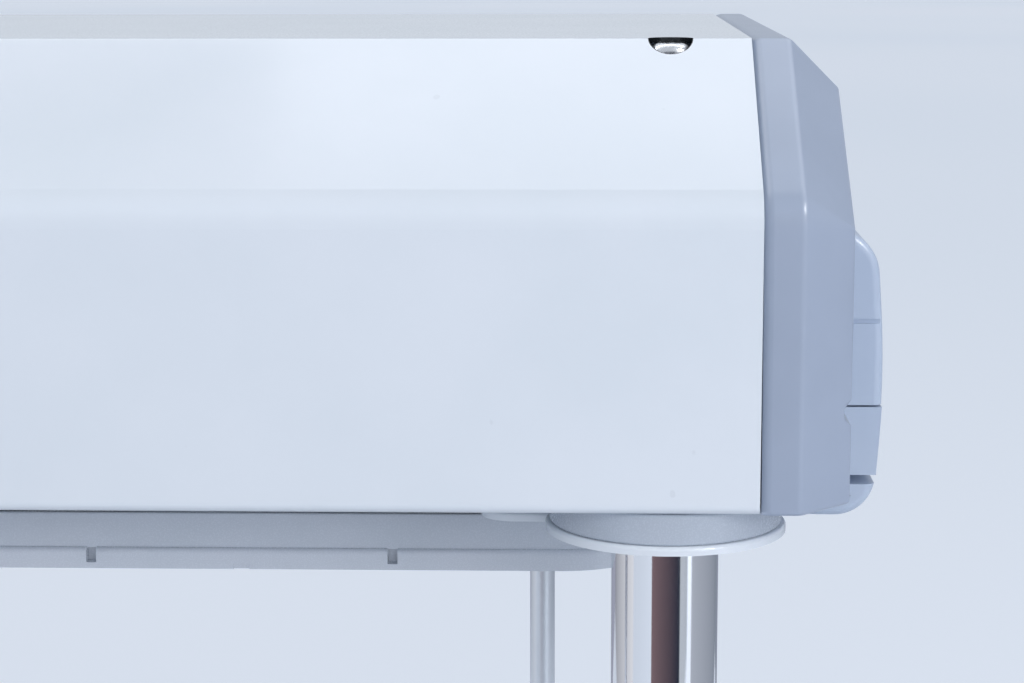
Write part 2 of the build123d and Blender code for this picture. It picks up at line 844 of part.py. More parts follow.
def handle():
    """Grip beside the head, hollow for the latch, with a foot that is screwed under the carriage plate."""
    grip = along_y(handle_outline(), handle_front_y, handle_back_y)
    ends = grip.faces().filter_by(Axis.Y)
    grip = fillet(ends.edges(), handle_edge_radius)
    inner_y = (handle_front_y + handle_wall, handle_back_y - handle_wall)
    lower_x = (handle_inner_x - handle_wall, handle_inner_x + handle_wall)
    lower_y = (handle_front_y + handle_edge_radius, handle_back_y - handle_edge_radius)
    grip += block(lower_x, lower_y, (head_bottom_z - handle_bottom, plate_bottom_z))
    foot_x = (handle_inner_x - handle_foot_reach, handle_inner_x)
    foot_y = (handle_front_y + arm_margin, handle_back_y - arm_margin)
    grip += block(foot_x, foot_y, (plate_bottom_z - handle_foot_height, plate_bottom_z))
    pocket_x = (handle_inner_x + handle_inner_wall, handle_outer_x - handle_wall)
    pocket_z = (head_bottom_z + latch_pad_bottom, head_bottom_z + latch_pocket_top)
    grip -= block(pocket_x, inner_y, pocket_z)
    slot_x = (handle_inner_x + 2 * handle_inner_wall, handle_outer_x + handle_wall)
    slot_z = (head_bottom_z + latch_pad_bottom, head_bottom_z + latch_pad_top)
    grip -= block(slot_x, (handle_front_y, handle_back_y), slot_z)
    grip -= grip_line()
    nose_y = nose_span(latch_nose_width / 2 + seat_gap)
    nose_z = (latch_nose_z - groove_mouth / 2 - seat_gap, latch_nose_z + groove_mouth / 2 + latch_pad_sweep)
    grip -= block((handle_inner_x, handle_inner_x + handle_wall), nose_y, nose_z)
    pin_y = (handle_front_y + handle_wall / 2, handle_back_y - handle_wall / 2)
    grip -= cross_rod(latch_pivot_x, pin_y, latch_axis_z, latch_pin_radius + running_fit)
    for y in handle_screw_places():
        grip -= disc(handle_screw_x, y, plate_bottom_z - handle_screw_depth, plate_bottom_z, screw_radius)
    return grip


def grip_line():
    """Shallow groove round the three open sides of the grip."""
    bottom = head_bottom_z + grip_line_z - grip_line_width / 2
    z = (bottom, bottom + grip_line_width)
    x = (handle_inner_x, handle_outer_x + grip_line_depth)
    y = (handle_front_y - grip_line_depth, handle_back_y + grip_line_depth)
    core_x = (handle_inner_x, handle_outer_x - grip_line_depth)
    core_y = (handle_front_y + grip_line_depth, handle_back_y - grip_line_depth)
    return block(x, y, z) - block(core_x, core_y, z)


def nose_span(half):
    middle = (handle_front_y + handle_back_y) / 2
    return (middle - half, middle + half)


def groove_half_width(depth):
    """Half the height of the groove in the head's cap at one depth."""
    return groove_floor / 2 + (groove_depth - depth) * (groove_mouth - groove_floor) / (2 * groove_depth)


def latch_lever():
    """Squeeze pad below the pin, and above it the nose that rests in the groove of the head's cap."""
    pad_x = handle_outer_x - latch_pad_depth
    pad_bottom = head_bottom_z + latch_pad_bottom + latch_pad_sweep
    pad_top = head_bottom_z + latch_pad_top - latch_pad_gap
    window = Pos(pad_x + latch_pad_depth, (pad_bottom + pad_top) / 2) * Rectangle(
        2 * latch_pad_depth, pad_top - pad_bottom
    )
    pad_face = handle_outline() & window
    pad_y = (handle_front_y + seat_gap, handle_back_y - seat_gap)
    lever = along_y(pad_face, *pad_y)
    inner_y = (handle_front_y + handle_wall + latch_spring_length, handle_back_y - handle_wall - seat_gap)
    arm = outline(
        [
            (latch_pivot_x - latch_hub_radius, latch_axis_z),
            (pad_x, pad_bottom + latch_hub_radius),
            (pad_x + latch_pad_depth / 2, pad_top),
            (latch_pivot_x + latch_hub_radius, latch_axis_z),
        ],
        0,
    )
    lever += along_y(arm, *inner_y)
    lever += cross_rod(latch_pivot_x, inner_y, latch_axis_z, latch_hub_radius)
    reach = groove_depth - seat_gap
    gap = seat_gap * math.sqrt(2)
    root_x = latch_pivot_x - latch_hub_radius
    half_mouth = groove_half_width(0) - gap
    half_tip = groove_half_width(reach) - gap
    nose = outline(
        [
            (root_x, latch_axis_z),
            (latch_pivot_x + latch_hub_radius, latch_axis_z),
            (latch_pivot_x, latch_nose_z + half_mouth),
            (cap_outer_x, latch_nose_z + half_mouth),
            (cap_outer_x - reach, latch_nose_z + half_tip),
            (cap_outer_x - reach, latch_nose_z - half_tip),
            (cap_outer_x, latch_nose_z - half_mouth),
            (root_x, latch_nose_z - half_mouth),
        ],
        0,
    )
    lever += along_y(nose, *nose_span(latch_nose_width / 2))
    return lever - cross_rod(latch_pivot_x, inner_y, latch_axis_z, latch_pin_radius + running_fit)


def latch_pin():
    pin_y = (handle_front_y + handle_wall / 2, handle_back_y - handle_wall / 2)
    return cross_rod(latch_pivot_x, pin_y, latch_axis_z, latch_pin_radius)


def latch_spring():
    """Envelope of the torsion spring beside the lever."""
    start = handle_front_y + handle_wall + running_fit
    span = (start, start + latch_spring_length - seat_gap)
    coil = cross_rod(latch_pivot_x, span, latch_axis_z, latch_hub_radius)
    return coil - cross_rod(latch_pivot_x, span, latch_axis_z, latch_pin_radius + running_fit)


def handle_screw_pair():
    screw = pan_screw(screw_head_radius, screw_head_height, screw_radius - running_fit, handle_screw_depth)
    return join([Pos(handle_screw_x, y, plate_top_z) * screw for y in handle_screw_places()])


# Base


def base_cover():
    cover = folded_cover(base_outline, base_front_y, base_back_y, base_floor_z, base_half_width)
    deck_z = (deck_under_z - cover_sheet, base_height + cover_sheet)
    cover -= disc(0, forming_y, *deck_z, platen_radius - skirt_wall - fit)
    for _, side in sides:
        cover -= disc(side * post_x, post_y, *deck_z, post_radius + trim_wall + fit)
    cover -= disc(rod_x, rod_y, *deck_z, rod_radius + trim_wall + fit)
    cover -= panel_plane * panel_cuts(-2 * cover_sheet, cover_sheet)
    back_y = (base_back_y - 2 * cover_sheet, base_back_y + cover_sheet)
    cover -= along_y(vent_slots(2 * vent_count, vent_x, vent_z), *back_y)
    inlet_hole = Pos(inlet_x, inlet_z) * Rectangle(inlet_width + 2 * fit, inlet_height + 2 * fit)
    return cover - along_y(inlet_hole, *back_y)


def panel_cuts(bottom, top):
    """Openings for the switches, the dial bush and the lamps, in the panel's own frame."""
    shape = Circle(timer_bush_radius + fit)
    for _, side in sides:
        shape += Pos(side * rocker_x, 0) * Rectangle(
            rocker_width - 2 * rocker_bezel + 2 * fit, rocker_length - 2 * rocker_bezel + 2 * fit
        )
        shape += Pos(side * rocker_x, lamp_y) * Circle(lamp_radius + running_fit)
    return Pos(0, 0, bottom) * extrude(shape, amount=top - bottom)


def control_panel():
    blank = RectangleRounded(2 * panel_half_width, panel_length, panel_corner)
    return panel_plane * (extrude(blank, amount=panel_thickness) - panel_cuts(0, panel_thickness))


def switch_bodies():
    """Bezel and case of each rocker switch, with a seat for the rocker's pins."""
    bodies = []
    case_width = rocker_width - 2 * rocker_bezel
    case_length = rocker_length - 2 * rocker_bezel
    top = panel_thickness + rocker_bezel
    for _, side in sides:
        bezel = extrude(RectangleRounded(rocker_width, rocker_length, rocker_bezel), amount=rocker_bezel)
        body = Pos(0, 0, panel_thickness) * bezel
        body += block(
            (-case_width / 2, case_width / 2),
            (-case_length / 2, case_length / 2),
            (-rocker_depth, panel_thickness),
        )
        well_x = (-case_width / 2 + rocker_wall, case_width / 2 - rocker_wall)
        well_y = (-case_length / 2 + rocker_wall, case_length / 2 - rocker_wall)
        body -= block(well_x, well_y, (-rocker_well, top))
        body -= side_rod((-case_width / 2, case_width / 2), 0, 0, rocker_pin_radius + running_fit)
        bodies.append(panel_plane * Pos(side * rocker_x, 0, 0) * body)
    return join(bodies)


def rocker(side):
    """Rocker with a shallow V across its top, tilted to its off position."""
    half_length = rocker_length / 2 - rocker_bezel - rocker_wall - rocker_play
    half_width = rocker_width / 2 - rocker_bezel - rocker_wall - seat_gap
    top = panel_thickness + rocker_bezel + rocker_rise / 3
    dip = half_length * math.tan(math.radians(rocker_tilt))
    face = outline(
        [
            (-half_length, -rocker_rise),
            (half_length, -rocker_rise),
            (half_length, top),
            (0, top - dip),
            (-half_length, top),
        ],
        0,
    )
    body = along_x(face, -half_width, half_width)
    pin_reach = rocker_width / 2 - rocker_bezel
    body += side_rod((-pin_reach, pin_reach), 0, 0, rocker_pin_radius)
    return panel_plane * Pos(side * rocker_x, 0, 0) * Rot(rocker_tilt, 0, 0) * body


def timer_body():
    """Case of the heating timer behind the panel, with the bush that its shaft turns in."""
    case = disc(0, 0, -cover_sheet - timer_body_depth, -cover_sheet, timer_body_radius)
    case += disc(0, 0, -cover_sheet, panel_thickness, timer_bush_radius)
    case -= disc(0, 0, -dial_shaft_depth, panel_thickness, dial_shaft_radius + running_fit)
    return panel_plane * case


def dial_shaft():
    top = panel_thickness + dial_gap + dial_height / 2
    return panel_plane * disc(0, 0, -dial_shaft_depth, top, dial_shaft_radius)


def timer_dial():
    """Fluted knob on a skirt, with a raised pointer."""
    bottom = panel_thickness + dial_gap
    skirt = disc(0, 0, bottom, bottom + dial_skirt_height, dial_radius)
    grip_radius = dial_radius - dial_skirt_step
    grip = disc(0, 0, bottom, bottom + dial_height, grip_radius)
    grip = chamfer(grip.edges().group_by(Axis.Z)[-1], dial_skirt_height / 2)
    for number in range(dial_flutes):
        turn = math.radians(360 / dial_flutes * (number + 0.5))
        radius = grip_radius + dial_flute_radius / 2
        place = (radius * math.cos(turn), radius * math.sin(turn))
        grip -= disc(*place, bottom + dial_skirt_height, bottom + dial_height, dial_flute_radius)
    pointer_y = (grip_radius / 2, dial_radius - dial_skirt_height / 2)
    pointer = block((-dial_gap, dial_gap), pointer_y, (bottom, bottom + dial_skirt_height + dial_gap))
    knob = skirt + grip + pointer
    bore = disc(0, 0, bottom, bottom + dial_height / 2, dial_shaft_radius + running_fit)
    return panel_plane * Rot(0, 0, dial_rest_turn) * (knob - bore)


def indicator_lamps():
    lamps = []
    for _, side in sides:
        lens = disc(0, 0, -lamp_depth, panel_thickness + lamp_radius / 2, lamp_radius)
        lens = fillet(lens.edges().group_by(Axis.Z)[-1], lamp_radius / 2)
        lamps.append(panel_plane * Pos(side * rocker_x, lamp_y, 0) * lens)
    return join(lamps)


def power_inlet():
    """Appliance inlet with a flange, a deep socket and three flat pins."""
    middle = Pos(inlet_x, inlet_z)
    flange = middle * RectangleRounded(inlet_flange_width, inlet_flange_height, inlet_corner)
    case = middle * Rectangle(inlet_width, inlet_height)
    well = Rectangle(inlet_width - 2 * inlet_wall, inlet_height - 2 * inlet_wall)
    well = middle * chamfer(well.vertices().group_by(Axis.Y)[-1], inlet_corner)
    outer_y = base_back_y + inlet_flange_thickness
    inlet = along_y(flange, base_back_y, outer_y)
    inlet += along_y(case, base_back_y - inlet_depth, base_back_y)
    inlet -= along_y(well, outer_y - inlet_well_depth, outer_y)
    for x, z in ((-pin_pitch, -pin_drop), (0, pin_drop), (pin_pitch, -pin_drop)):
        pin = Pos(inlet_x + x, inlet_z + z) * Rectangle(pin_thickness, pin_width)
        inlet += along_y(pin, outer_y - inlet_well_depth, outer_y - inlet_flange_thickness)
    return inlet


def base_plate():
    y_range = (base_front_y + hem_radius, base_back_y - hem_radius)
    x_range = (-chassis_half_width, chassis_half_width)
    return block(x_range, y_range, (base_plate_z, base_floor_top_z))


def feet():
    """Rubber feet, tapered and rounded where they stand."""
    pads = []
    for _, side in sides:
        for y in (base_front_y + foot_inset, base_back_y - foot_inset):
            pad = disc(side * foot_x, y, 0, base_plate_z, foot_radius)
            pads.append(chamfer(pad.edges().group_by(Axis.Z)[0], foot_chamfer))
    return join(pads)


def post_socket():
    """Bored block that holds the foot of the column."""
    x_range = (post_x - socket_inner, chassis_half_width)
    y_range = (post_y - socket_half_depth, post_y + socket_half_depth)
    socket = block(x_range, y_range, (base_floor_top_z, base_floor_top_z + socket_height))
    socket = chamfer(socket.edges().filter_by(Axis.Z), socket_chamfer)
    bore = post_radius + running_fit
    return socket - disc(post_x, post_y, base_floor_top_z, base_floor_top_z + socket_height, bore)


def rod_socket():
    top = base_floor_top_z + rod_socket_height
    collar = disc(rod_x, rod_y, base_floor_top_z, top, rod_socket_radius)
    return collar - disc(rod_x, rod_y, base_floor_top_z, top, rod_radius + running_fit)


def trim_ring(x, y, radius):
    """Collar that lines the hole in the deck around a column or rod."""
    ring = disc(x, y, base_height, base_height + trim_height, radius + trim_wall + trim_flange)
    ring = fillet(ring.edges().group_by(Axis.Z)[-1], trim_height / 2)
    ring += disc(x, y, deck_under_z, base_height, radius + trim_wall)
    return ring - disc(x, y, deck_under_z, base_height + trim_height, radius + fit)


def post_trim():
    return trim_ring(post_x, post_y, post_radius)


def rod_trim():
    return trim_ring(rod_x, rod_y, rod_radius)


# Vacuum system, stacked on the forming axis


def platen():
    """Turned hat with a foot ring on the deck and a perforated top."""
    top = base_height + platen_height
    hat = disc(0, forming_y, base_height, base_height + platen_foot, platen_radius + platen_foot_width)
    hat += disc(0, forming_y, base_height, top, platen_radius)
    hat = chamfer(hat.edges().group_by(Axis.Z)[-1], platen_chamfer)
    hat -= disc(0, forming_y, base_height, top - platen_thickness, platen_radius - skirt_wall)
    holes = Sketch() + Circle(platen_hole_radius)
    for ring in range(1, platen_rings + 1):
        holes += PolarLocations(ring * platen_ring_pitch, 6 * ring) * Circle(platen_hole_radius)
    return hat - Pos(0, forming_y, top - platen_thickness) * extrude(holes, amount=platen_thickness)


def platen_seal():
    bottom = base_height + platen_foot
    outer = platen_radius + platen_foot_width - seat_gap
    ring = disc(0, forming_y, bottom, bottom + seal_ring_height, outer)
    ring = fillet(ring.edges().group_by(Axis.Z)[-1], seal_ring_height / 3)
    return ring - disc(0, forming_y, bottom, bottom + seal_ring_height, outer - seal_ring_width)


def vacuum_chamber():
    """Shallow bowl under the deck, with a port to the fan."""
    bowl = disc(0, forming_y, chamber_bottom_z, deck_under_z, chamber_radius)
    bowl = fillet(bowl.edges().group_by(Axis.Z)[0], 2 * chamber_wall)
    hollow_radius = chamber_radius - chamber_wall
    hollow = disc(0, forming_y, chamber_bottom_z + chamber_wall, deck_under_z, hollow_radius)
    hollow = fillet(hollow.edges().group_by(Axis.Z)[0], chamber_wall)
    return bowl - hollow - disc(0, forming_y, chamber_bottom_z, deck_under_z, chamber_port_radius)


def fan_seal():
    ring = disc(0, forming_y, fan_top_z, chamber_bottom_z, chamber_port_radius + 2 * fan_seal_width)
    return ring - disc(0, forming_y, fan_top_z, chamber_bottom_z, chamber_port_radius + fan_seal_width)


def fan_housing():
    """Drum with an inlet eye above, a shaft hole below and an outlet towards the rear vents."""
    drum = disc(0, forming_y, fan_bottom_z, fan_top_z, fan_radius)
    drum -= disc(0, forming_y, fan_bottom_z + fan_wall, fan_top_z - fan_wall, fan_radius - fan_wall)
    drum -= disc(0, forming_y, fan_top_z - fan_wall, fan_top_z, chamber_port_radius)
    drum -= disc(0, forming_y, fan_bottom_z, fan_bottom_z + fan_wall, 2 * shaft_radius)
    outlet_z = (fan_bottom_z + 2 * fan_wall, fan_top_z - 2 * fan_wall)
    outlet_y = (forming_y + fan_radius / 2, forming_y + fan_radius)
    return drum - block((-fan_outlet_half, fan_outlet_half), outlet_y, outlet_z)


def impeller():
    """Closed centrifugal wheel with blades that curve back from the eye to the rim."""
    bottom = fan_bottom_z + fan_wall + impeller_gap
    top = bottom + impeller_height
    wheel = disc(0, forming_y, bottom, bottom + impeller_plate, impeller_radius)
    shroud = disc(0, forming_y, top - impeller_plate, top, impeller_radius)
    wheel += shroud - disc(0, forming_y, top - impeller_plate, top, blade_inner_radius)
    sweep = math.radians(blade_angle)
    middle_radius = (blade_inner_radius + impeller_radius) / 2
    middle_turn = sweep * blade_lead
    path = ThreePointArc(
        (blade_inner_radius, 0),
        (middle_radius * math.cos(middle_turn), middle_radius * math.sin(middle_turn)),
        (
            (impeller_radius - impeller_plate) * math.cos(sweep),
            (impeller_radius - impeller_plate) * math.sin(sweep),
        ),
    )
    blade = extrude(trace(path, blade_thickness), amount=impeller_height - impeller_plate)
    for number in range(blade_count):
        turn = 360 / blade_count * number
        wheel += Pos(0, forming_y, bottom + impeller_plate / 2) * Rot(0, 0, turn) * blade
    wheel += disc(0, forming_y, bottom, top, 2 * shaft_radius)
    return wheel - disc(0, forming_y, bottom, top, shaft_radius + running_fit)


def motor_shaft():
    bottom = motor_bottom_z + shaft_seat
    top = fan_bottom_z + fan_wall + impeller_gap + impeller_height
    return disc(0, forming_y, bottom, top, shaft_radius)


def motor_frame():
    """Stepped motor case with the bearing bore for the shaft."""
    frame = disc(0, forming_y, motor_bottom_z, fan_bottom_z, motor_radius)
    frame += disc(0, forming_y, fan_bottom_z - motor_flange, fan_bottom_z, motor_radius + 2 * motor_flange)
    return frame - disc(
        0, forming_y, motor_bottom_z + shaft_seat, fan_bottom_z, shaft_radius + running_fit
    )


def motor_mount():
    ring = disc(0, forming_y, base_floor_top_z, motor_bottom_z, motor_radius - motor_flange)
    return ring - disc(0, forming_y, base_floor_top_z, motor_bottom_z, motor_radius / 2)


def twins(make):
    """Left and right copies of a piece drawn for the right side."""
    right = make()
    return {name: mirrored(right, side) for name, side in sides}


def write(name, part):
    part.label = name
    export_step(part, f"parts/{name}.step")


def write_pair(name, make):
    for side, part in twins(make).items():
        write(f"{name}_{side}", part)


def write_group(name, *makes):
    write(name, join([part for make in makes for part in twins(make).values()]))


def write_with_rod(name, make_twins, make_one):
    """Pieces of the two columns, and the matching piece of the one rear rod."""
    write(name, join([*twins(make_twins).values(), make_one()]))


def head_parts():
    write("head_cover", head_cover())
    write_pair("end_cap", head_end_cap)
    write("head_chassis", head_chassis())
    write_group("cover_brackets", cover_bracket)
    write_group("head_screws", bracket_screw, cap_screws)
    write("heater_reflector", heater_reflector())
    write_group("tube_holders", tube_holder)
    write("quartz_tubes", quartz_tubes())
    write("heating_coils", heating_coils())
    write("heater_insulation", heater_insulation())
    write_pair("post", post)
    write("guide_rod", guide_rod())
    write_with_rod("column_nuts", post_nut, rod_nut)


def carriage_parts():
    write("carriage_plate_left", mirrored(carriage_plate(), -1))
    write("carriage_plate_right", guided_plate())
    write_pair("post_bushing", post_bushing)
    write_group("bushing_liners", bushing_liner)
    write("rod_bushing", rod_bushing())
    write("guide_columns", guide_columns())
    write("clamp_springs", clamp_springs())
    write("lower_clamp_frame", lower_clamp_frame())
    write("frame_gasket", frame_gasket())
    write("upper_clamp_frame", upper_clamp_frame())
    write_pair("handle", handle)
    write_pair("latch_lever", latch_lever)
    write_group("latch_pins", latch_pin)
    write_group("latch_springs", latch_spring)
    write_group("handle_screws", handle_screw_pair)


def base_parts():
    write("base_cover", base_cover())
    write_pair("base_cap", lambda: end_cap(base_outline))
    write("base_plate", base_plate())
    write("feet", feet())
    write_with_rod("column_sockets", post_socket, rod_socket)
    write_with_rod("column_trims", post_trim, rod_trim)
    write("control_panel", control_panel())
    write("switch_bodies", switch_bodies())
    write("power_rocker", rocker(-1))
    write("vacuum_rocker", rocker(1))
    write("timer_body", timer_body())
    write("dial_shaft", dial_shaft())
    write("timer_dial", timer_dial())
    write("indicator_lamps", indicator_lamps())
    write("power_inlet", power_inlet())


def vacuum_parts():
    write("platen", platen())
    write("platen_seal", platen_seal())
    write("vacuum_chamber", vacuum_chamber())
    write("fan_seal", fan_seal())
    write("fan_housing", fan_housing())
    write("impeller", impeller())
    write("motor_shaft", motor_shaft())
    write("motor_frame", motor_frame())
    write("motor_mount", motor_mount())


os.makedirs("parts", exist_ok=True)
head_parts()
carriage_parts()
base_parts()
vacuum_parts()
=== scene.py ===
import json
import math

import bmesh
import bpy
import numpy as np
from mathutils import Matrix, Vector


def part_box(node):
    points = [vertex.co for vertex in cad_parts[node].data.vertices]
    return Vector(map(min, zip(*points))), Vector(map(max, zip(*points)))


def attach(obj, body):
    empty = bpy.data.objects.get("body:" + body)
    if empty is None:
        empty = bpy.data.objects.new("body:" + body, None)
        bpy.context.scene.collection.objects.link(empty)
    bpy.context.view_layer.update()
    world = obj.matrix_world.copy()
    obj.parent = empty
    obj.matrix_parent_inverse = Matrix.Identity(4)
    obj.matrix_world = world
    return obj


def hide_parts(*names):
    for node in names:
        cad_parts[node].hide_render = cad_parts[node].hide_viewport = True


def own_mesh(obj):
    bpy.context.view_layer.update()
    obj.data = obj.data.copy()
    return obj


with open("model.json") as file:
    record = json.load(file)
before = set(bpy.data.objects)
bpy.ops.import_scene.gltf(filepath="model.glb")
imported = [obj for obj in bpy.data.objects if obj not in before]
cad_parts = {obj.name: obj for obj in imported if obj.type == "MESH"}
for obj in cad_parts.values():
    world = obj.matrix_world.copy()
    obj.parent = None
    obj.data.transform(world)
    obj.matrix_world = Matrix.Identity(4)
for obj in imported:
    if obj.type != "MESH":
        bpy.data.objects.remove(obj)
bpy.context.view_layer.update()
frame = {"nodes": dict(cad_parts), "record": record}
nodes = frame["nodes"]
mm = 0.001
micron = 0.000001
print("frame loaded:", len(nodes), "nodes")

cameraView = {
    "place": (87.646, -642.281, 481.290),  # mm, before the upper right corner of the head
    "yawLeft": 0.0333,  # turns in radians
    "pitchDown": 0.1654,
    "roll": -0.002,
    "lens": 85.0,
    "sensor": 36.0,
    "nearest": 0.01,  # m
    "farthest": 100,
}


# The three turns give the axes of the camera: right, up and backwards.
def placeCamera(view):
    yaw, pitch, roll = view["yawLeft"], view["pitchDown"], view["roll"]
    ahead = Vector((-math.sin(yaw) * math.cos(pitch), math.cos(yaw) * math.cos(pitch), -math.sin(pitch)))
    level = Vector((math.cos(yaw), math.sin(yaw), 0))
    upright = level.cross(ahead)
    right = level * math.cos(roll) + upright * math.sin(roll)
    up = upright * math.cos(roll) - level * math.sin(roll)
    data = bpy.data.cameras.new("camera")
    data.lens, data.sensor_width = view["lens"], view["sensor"]
    data.clip_start, data.clip_end = view["nearest"], view["farthest"]
    camera = bpy.data.objects.new("camera", data)
    turn = Matrix((right, up, -ahead)).transposed().to_4x4()
    camera.matrix_world = Matrix.Translation(Vector(view["place"]) * mm) @ turn
    bpy.context.scene.collection.objects.link(camera)
    bpy.context.scene.camera = camera


placeCamera(cameraView)
print("camera placed")


# sRGB hex code to a linear colour
def toLinear(code):
    parts = np.array([int(code[place:place + 2], 16) / 255 for place in (1, 3, 5)])
    return (*np.where(parts <= 0.04045, parts / 12.92, ((parts + 0.055) / 1.055) ** 2.4).tolist(), 1.0)


# One node with its settings and the sockets that feed it; a number names a socket by its place.
def addNode(tree, kind, settings=(), links=()):
    node = tree.nodes.new(kind)
    for key, value in dict(settings).items():
        if isinstance(key, int) or key in node.inputs:
            node.inputs[key].default_value = value
        else:
            setattr(node, key, value)
    for key, socket in dict(links).items():
        tree.links.new(socket, node.inputs[key])
    return node


# Empty material with its shader, tree and the object's own coordinates
def startMaterial(name, settings):
    material = bpy.data.materials.new(name)
    material.use_nodes = True
    tree = material.node_tree
    tree.nodes.clear()
    shader = addNode(tree, "ShaderNodeBsdfPrincipled", settings)
    addNode(tree, "ShaderNodeOutputMaterial", {}, {"Surface": shader.outputs[0]})
    coords = addNode(tree, "ShaderNodeTexCoord").outputs["Object"]
    return material, tree, shader, coords


# Noise whose blotches are so many millimetres across, drawn out along an axis by the stretch. Lines of
# grinding and rolling, bead and spark grain and fine skins are finer in life, and are drawn as coarse
# as they need to show.
def grain(tree, coords, size, stretch=(1, 1, 1), detail=2.0, roughness=0.5):
    scale = [1 / (size * mm * pull) for pull in stretch]
    mapped = addNode(tree, "ShaderNodeMapping", {"Scale": scale}, {"Vector": coords})
    settings = {"Scale": 1.0, "Detail": detail, "Roughness": roughness}
    return addNode(tree, "ShaderNodeTexNoise", settings, {"Vector": mapped.outputs[0]}).outputs["Fac"]


# Settings that turn a field's run from start to end into one from low to high
def ramp(low, high, start=0.35, end=0.65):
    return {"From Min": start, "From Max": end, "To Min": low, "To Max": high, "clamp": True}


# A colour, given as a code or a socket, that passes into another while the field goes from start to
# end, as far as the share says
def tint(tree, field, first, second, start=0.35, end=0.65, share=1):
    passing = addNode(tree, "ShaderNodeMapRange", ramp(0, share, start, end), {"Value": field})
    settings, links = {"data_type": "RGBA", 7: toLinear(second)}, {0: passing.outputs["Result"]}
    if isinstance(first, str):
        settings[6] = toLinear(first)
    else:
        links[6] = first
    return addNode(tree, "ShaderNodeMix", settings, links).outputs[2]


# Material whose shader gets a colour, a roughness that follows a field over a ramp, and reliefs, each
# a field with its height in micrometres, laid on the one before
def endMaterial(material, shader, colour, rough, *reliefs):
    tree = material.node_tree
    worn = addNode(tree, "ShaderNodeMapRange", ramp(*rough[1:]), {"Value": rough[0]})
    tree.links.new(worn.outputs["Result"], shader.inputs["Roughness"])
    if colour:
        tree.links.new(colour, shader.inputs["Base Color"])
    below = {}
    for field, height in reliefs:
        settings = {"Distance": height * micron, "Strength": 1.0}
        raised = addNode(tree, "ShaderNodeBump", settings, {"Height": field, **below})
        below = {"Normal": raised.outputs[0]}
    tree.links.new(below["Normal"], shader.inputs["Normal"])
    return material


# Painted shade at the cover's two screw holes: where the near-black is painted, and its colour
paintedHoleShade = {"x": 106.0, "y": -69.0, "radius": 5.32, "above": 440.0, "colour": "#15191c"}


# Mask of the painted shade at the holes: one within the radius of the two holes and above the height,
# elsewhere nought
def holeShadeMask(tree, coords, hole):
    apart = addNode(tree, "ShaderNodeSeparateXYZ", {}, {0: coords}).outputs
    across = addNode(tree, "ShaderNodeMath", {"operation": "ABSOLUTE"}, {0: apart["X"]}).outputs[0]
    flat = addNode(tree, "ShaderNodeCombineXYZ", {}, {"X": across, "Y": apart["Y"]}).outputs[0]
    settings = {"operation": "DISTANCE", 1: (hole["x"] * mm, hole["y"] * mm, 0)}
    away = addNode(tree, "ShaderNodeVectorMath", settings, {0: flat}).outputs["Value"]
    settings = {"operation": "LESS_THAN", 1: hole["radius"] * mm}
    near = addNode(tree, "ShaderNodeMath", settings, {0: away}).outputs[0]
    settings = {"operation": "GREATER_THAN", 1: hole["above"] * mm}
    high = addNode(tree, "ShaderNodeMath", settings, {0: apart["Z"]}).outputs[0]
    return addNode(tree, "ShaderNodeMath", {"operation": "MULTIPLY"}, {0: near, 1: high}).outputs[0]


# White gloss powder coat on sheet: slow mottling of the film, the soft ripple of orange peel that frays
# the edge of a reflection, and rare specks of dust baked in. Round the punched holes, above their
# height, the colour is painted near-black: painted shade for the dark gap seen through the holes.
def whitePowderCoatOnSheet():
    material, tree, shader, coords = startMaterial("whitePowderCoatOnSheet", {"IOR": 1.5})
    cloud = grain(tree, coords, 45, detail=3)
    peel = grain(tree, coords, 1.5, detail=1)
    fine = grain(tree, coords, 0.45, detail=2)
    dust = grain(tree, coords, 4.5, detail=0)
    colour = tint(tree, cloud, "#e3e9ef", "#e7ecf2")
    spotted = tint(tree, dust, colour, "#a8adb4", 0.88, 0.9, 0.12)
    settings = {"data_type": "RGBA", 7: toLinear(paintedHoleShade["colour"])}
    links = {0: holeShadeMask(tree, coords, paintedHoleShade), 6: spotted}
    holeShaded = addNode(tree, "ShaderNodeMix", settings, links).outputs[2]
    return endMaterial(material, shader, holeShaded, (fine, 0.13, 0.21), (peel, 7), (fine, 1.2))


# Grey ABS moulded in a spark-eroded tool: satin, a little cloudy, with a grain that breaks up highlights.
def sparkGrainedAbs(name, first, second):
    material, tree, shader, coords = startMaterial(name, {"IOR": 1.52})
    cloud = grain(tree, coords, 22, detail=3)
    pits = grain(tree, coords, 0.32, detail=2)
    fine = grain(tree, coords, 0.12, detail=1)
    colour = tint(tree, cloud, first, second)
    return endMaterial(material, shader, colour, (pits, 0.28, 0.37), (pits, 9), (fine, 2))


# Hard chrome on a ground bar: mirror with faint rings from the grinding and a wiped haze.
def groundAndChromedBar():
    settings = {"Base Color": toLinear("#e7e8eb"), "Metallic": 1.0}
    material, tree, shader, coords = startMaterial("groundAndChromedBar", settings)
    rings = grain(tree, coords, 0.35, stretch=(60, 60, 1), detail=3)
    haze = grain(tree, coords, 18, stretch=(1, 1, 3), detail=3)
    return endMaterial(material, shader, None, (haze, 0.06, 0.11), (rings, 0.35))


# Centreless-ground steel with an oil film: dull grey, with soft wide reflections along the rod.
def oiledGroundRod():
    settings = {"Base Color": toLinear("#e1e5ea"), "Metallic": 1.0}
    material, tree, shader, coords = startMaterial("oiledGroundRod", settings)
    film = grain(tree, coords, 9, stretch=(1, 1, 3), detail=3)
    rings = grain(tree, coords, 0.3, stretch=(50, 50, 1), detail=2)
    return endMaterial(material, shader, None, (film, 0.28, 0.38), (rings, 0.5))


# Barrel-chromed steel of the screw heads: bright, with a dull film and tiny handling marks.
def barrelChromedScrew():
    settings = {"Base Color": toLinear("#e2e3e5"), "Metallic": 1.0}
    material, tree, shader, coords = startMaterial("barrelChromedScrew", settings)
    marks = grain(tree, coords, 0.6, detail=4)
    return endMaterial(material, shader, None, (marks, 0.20, 0.34), (marks, 2.5))


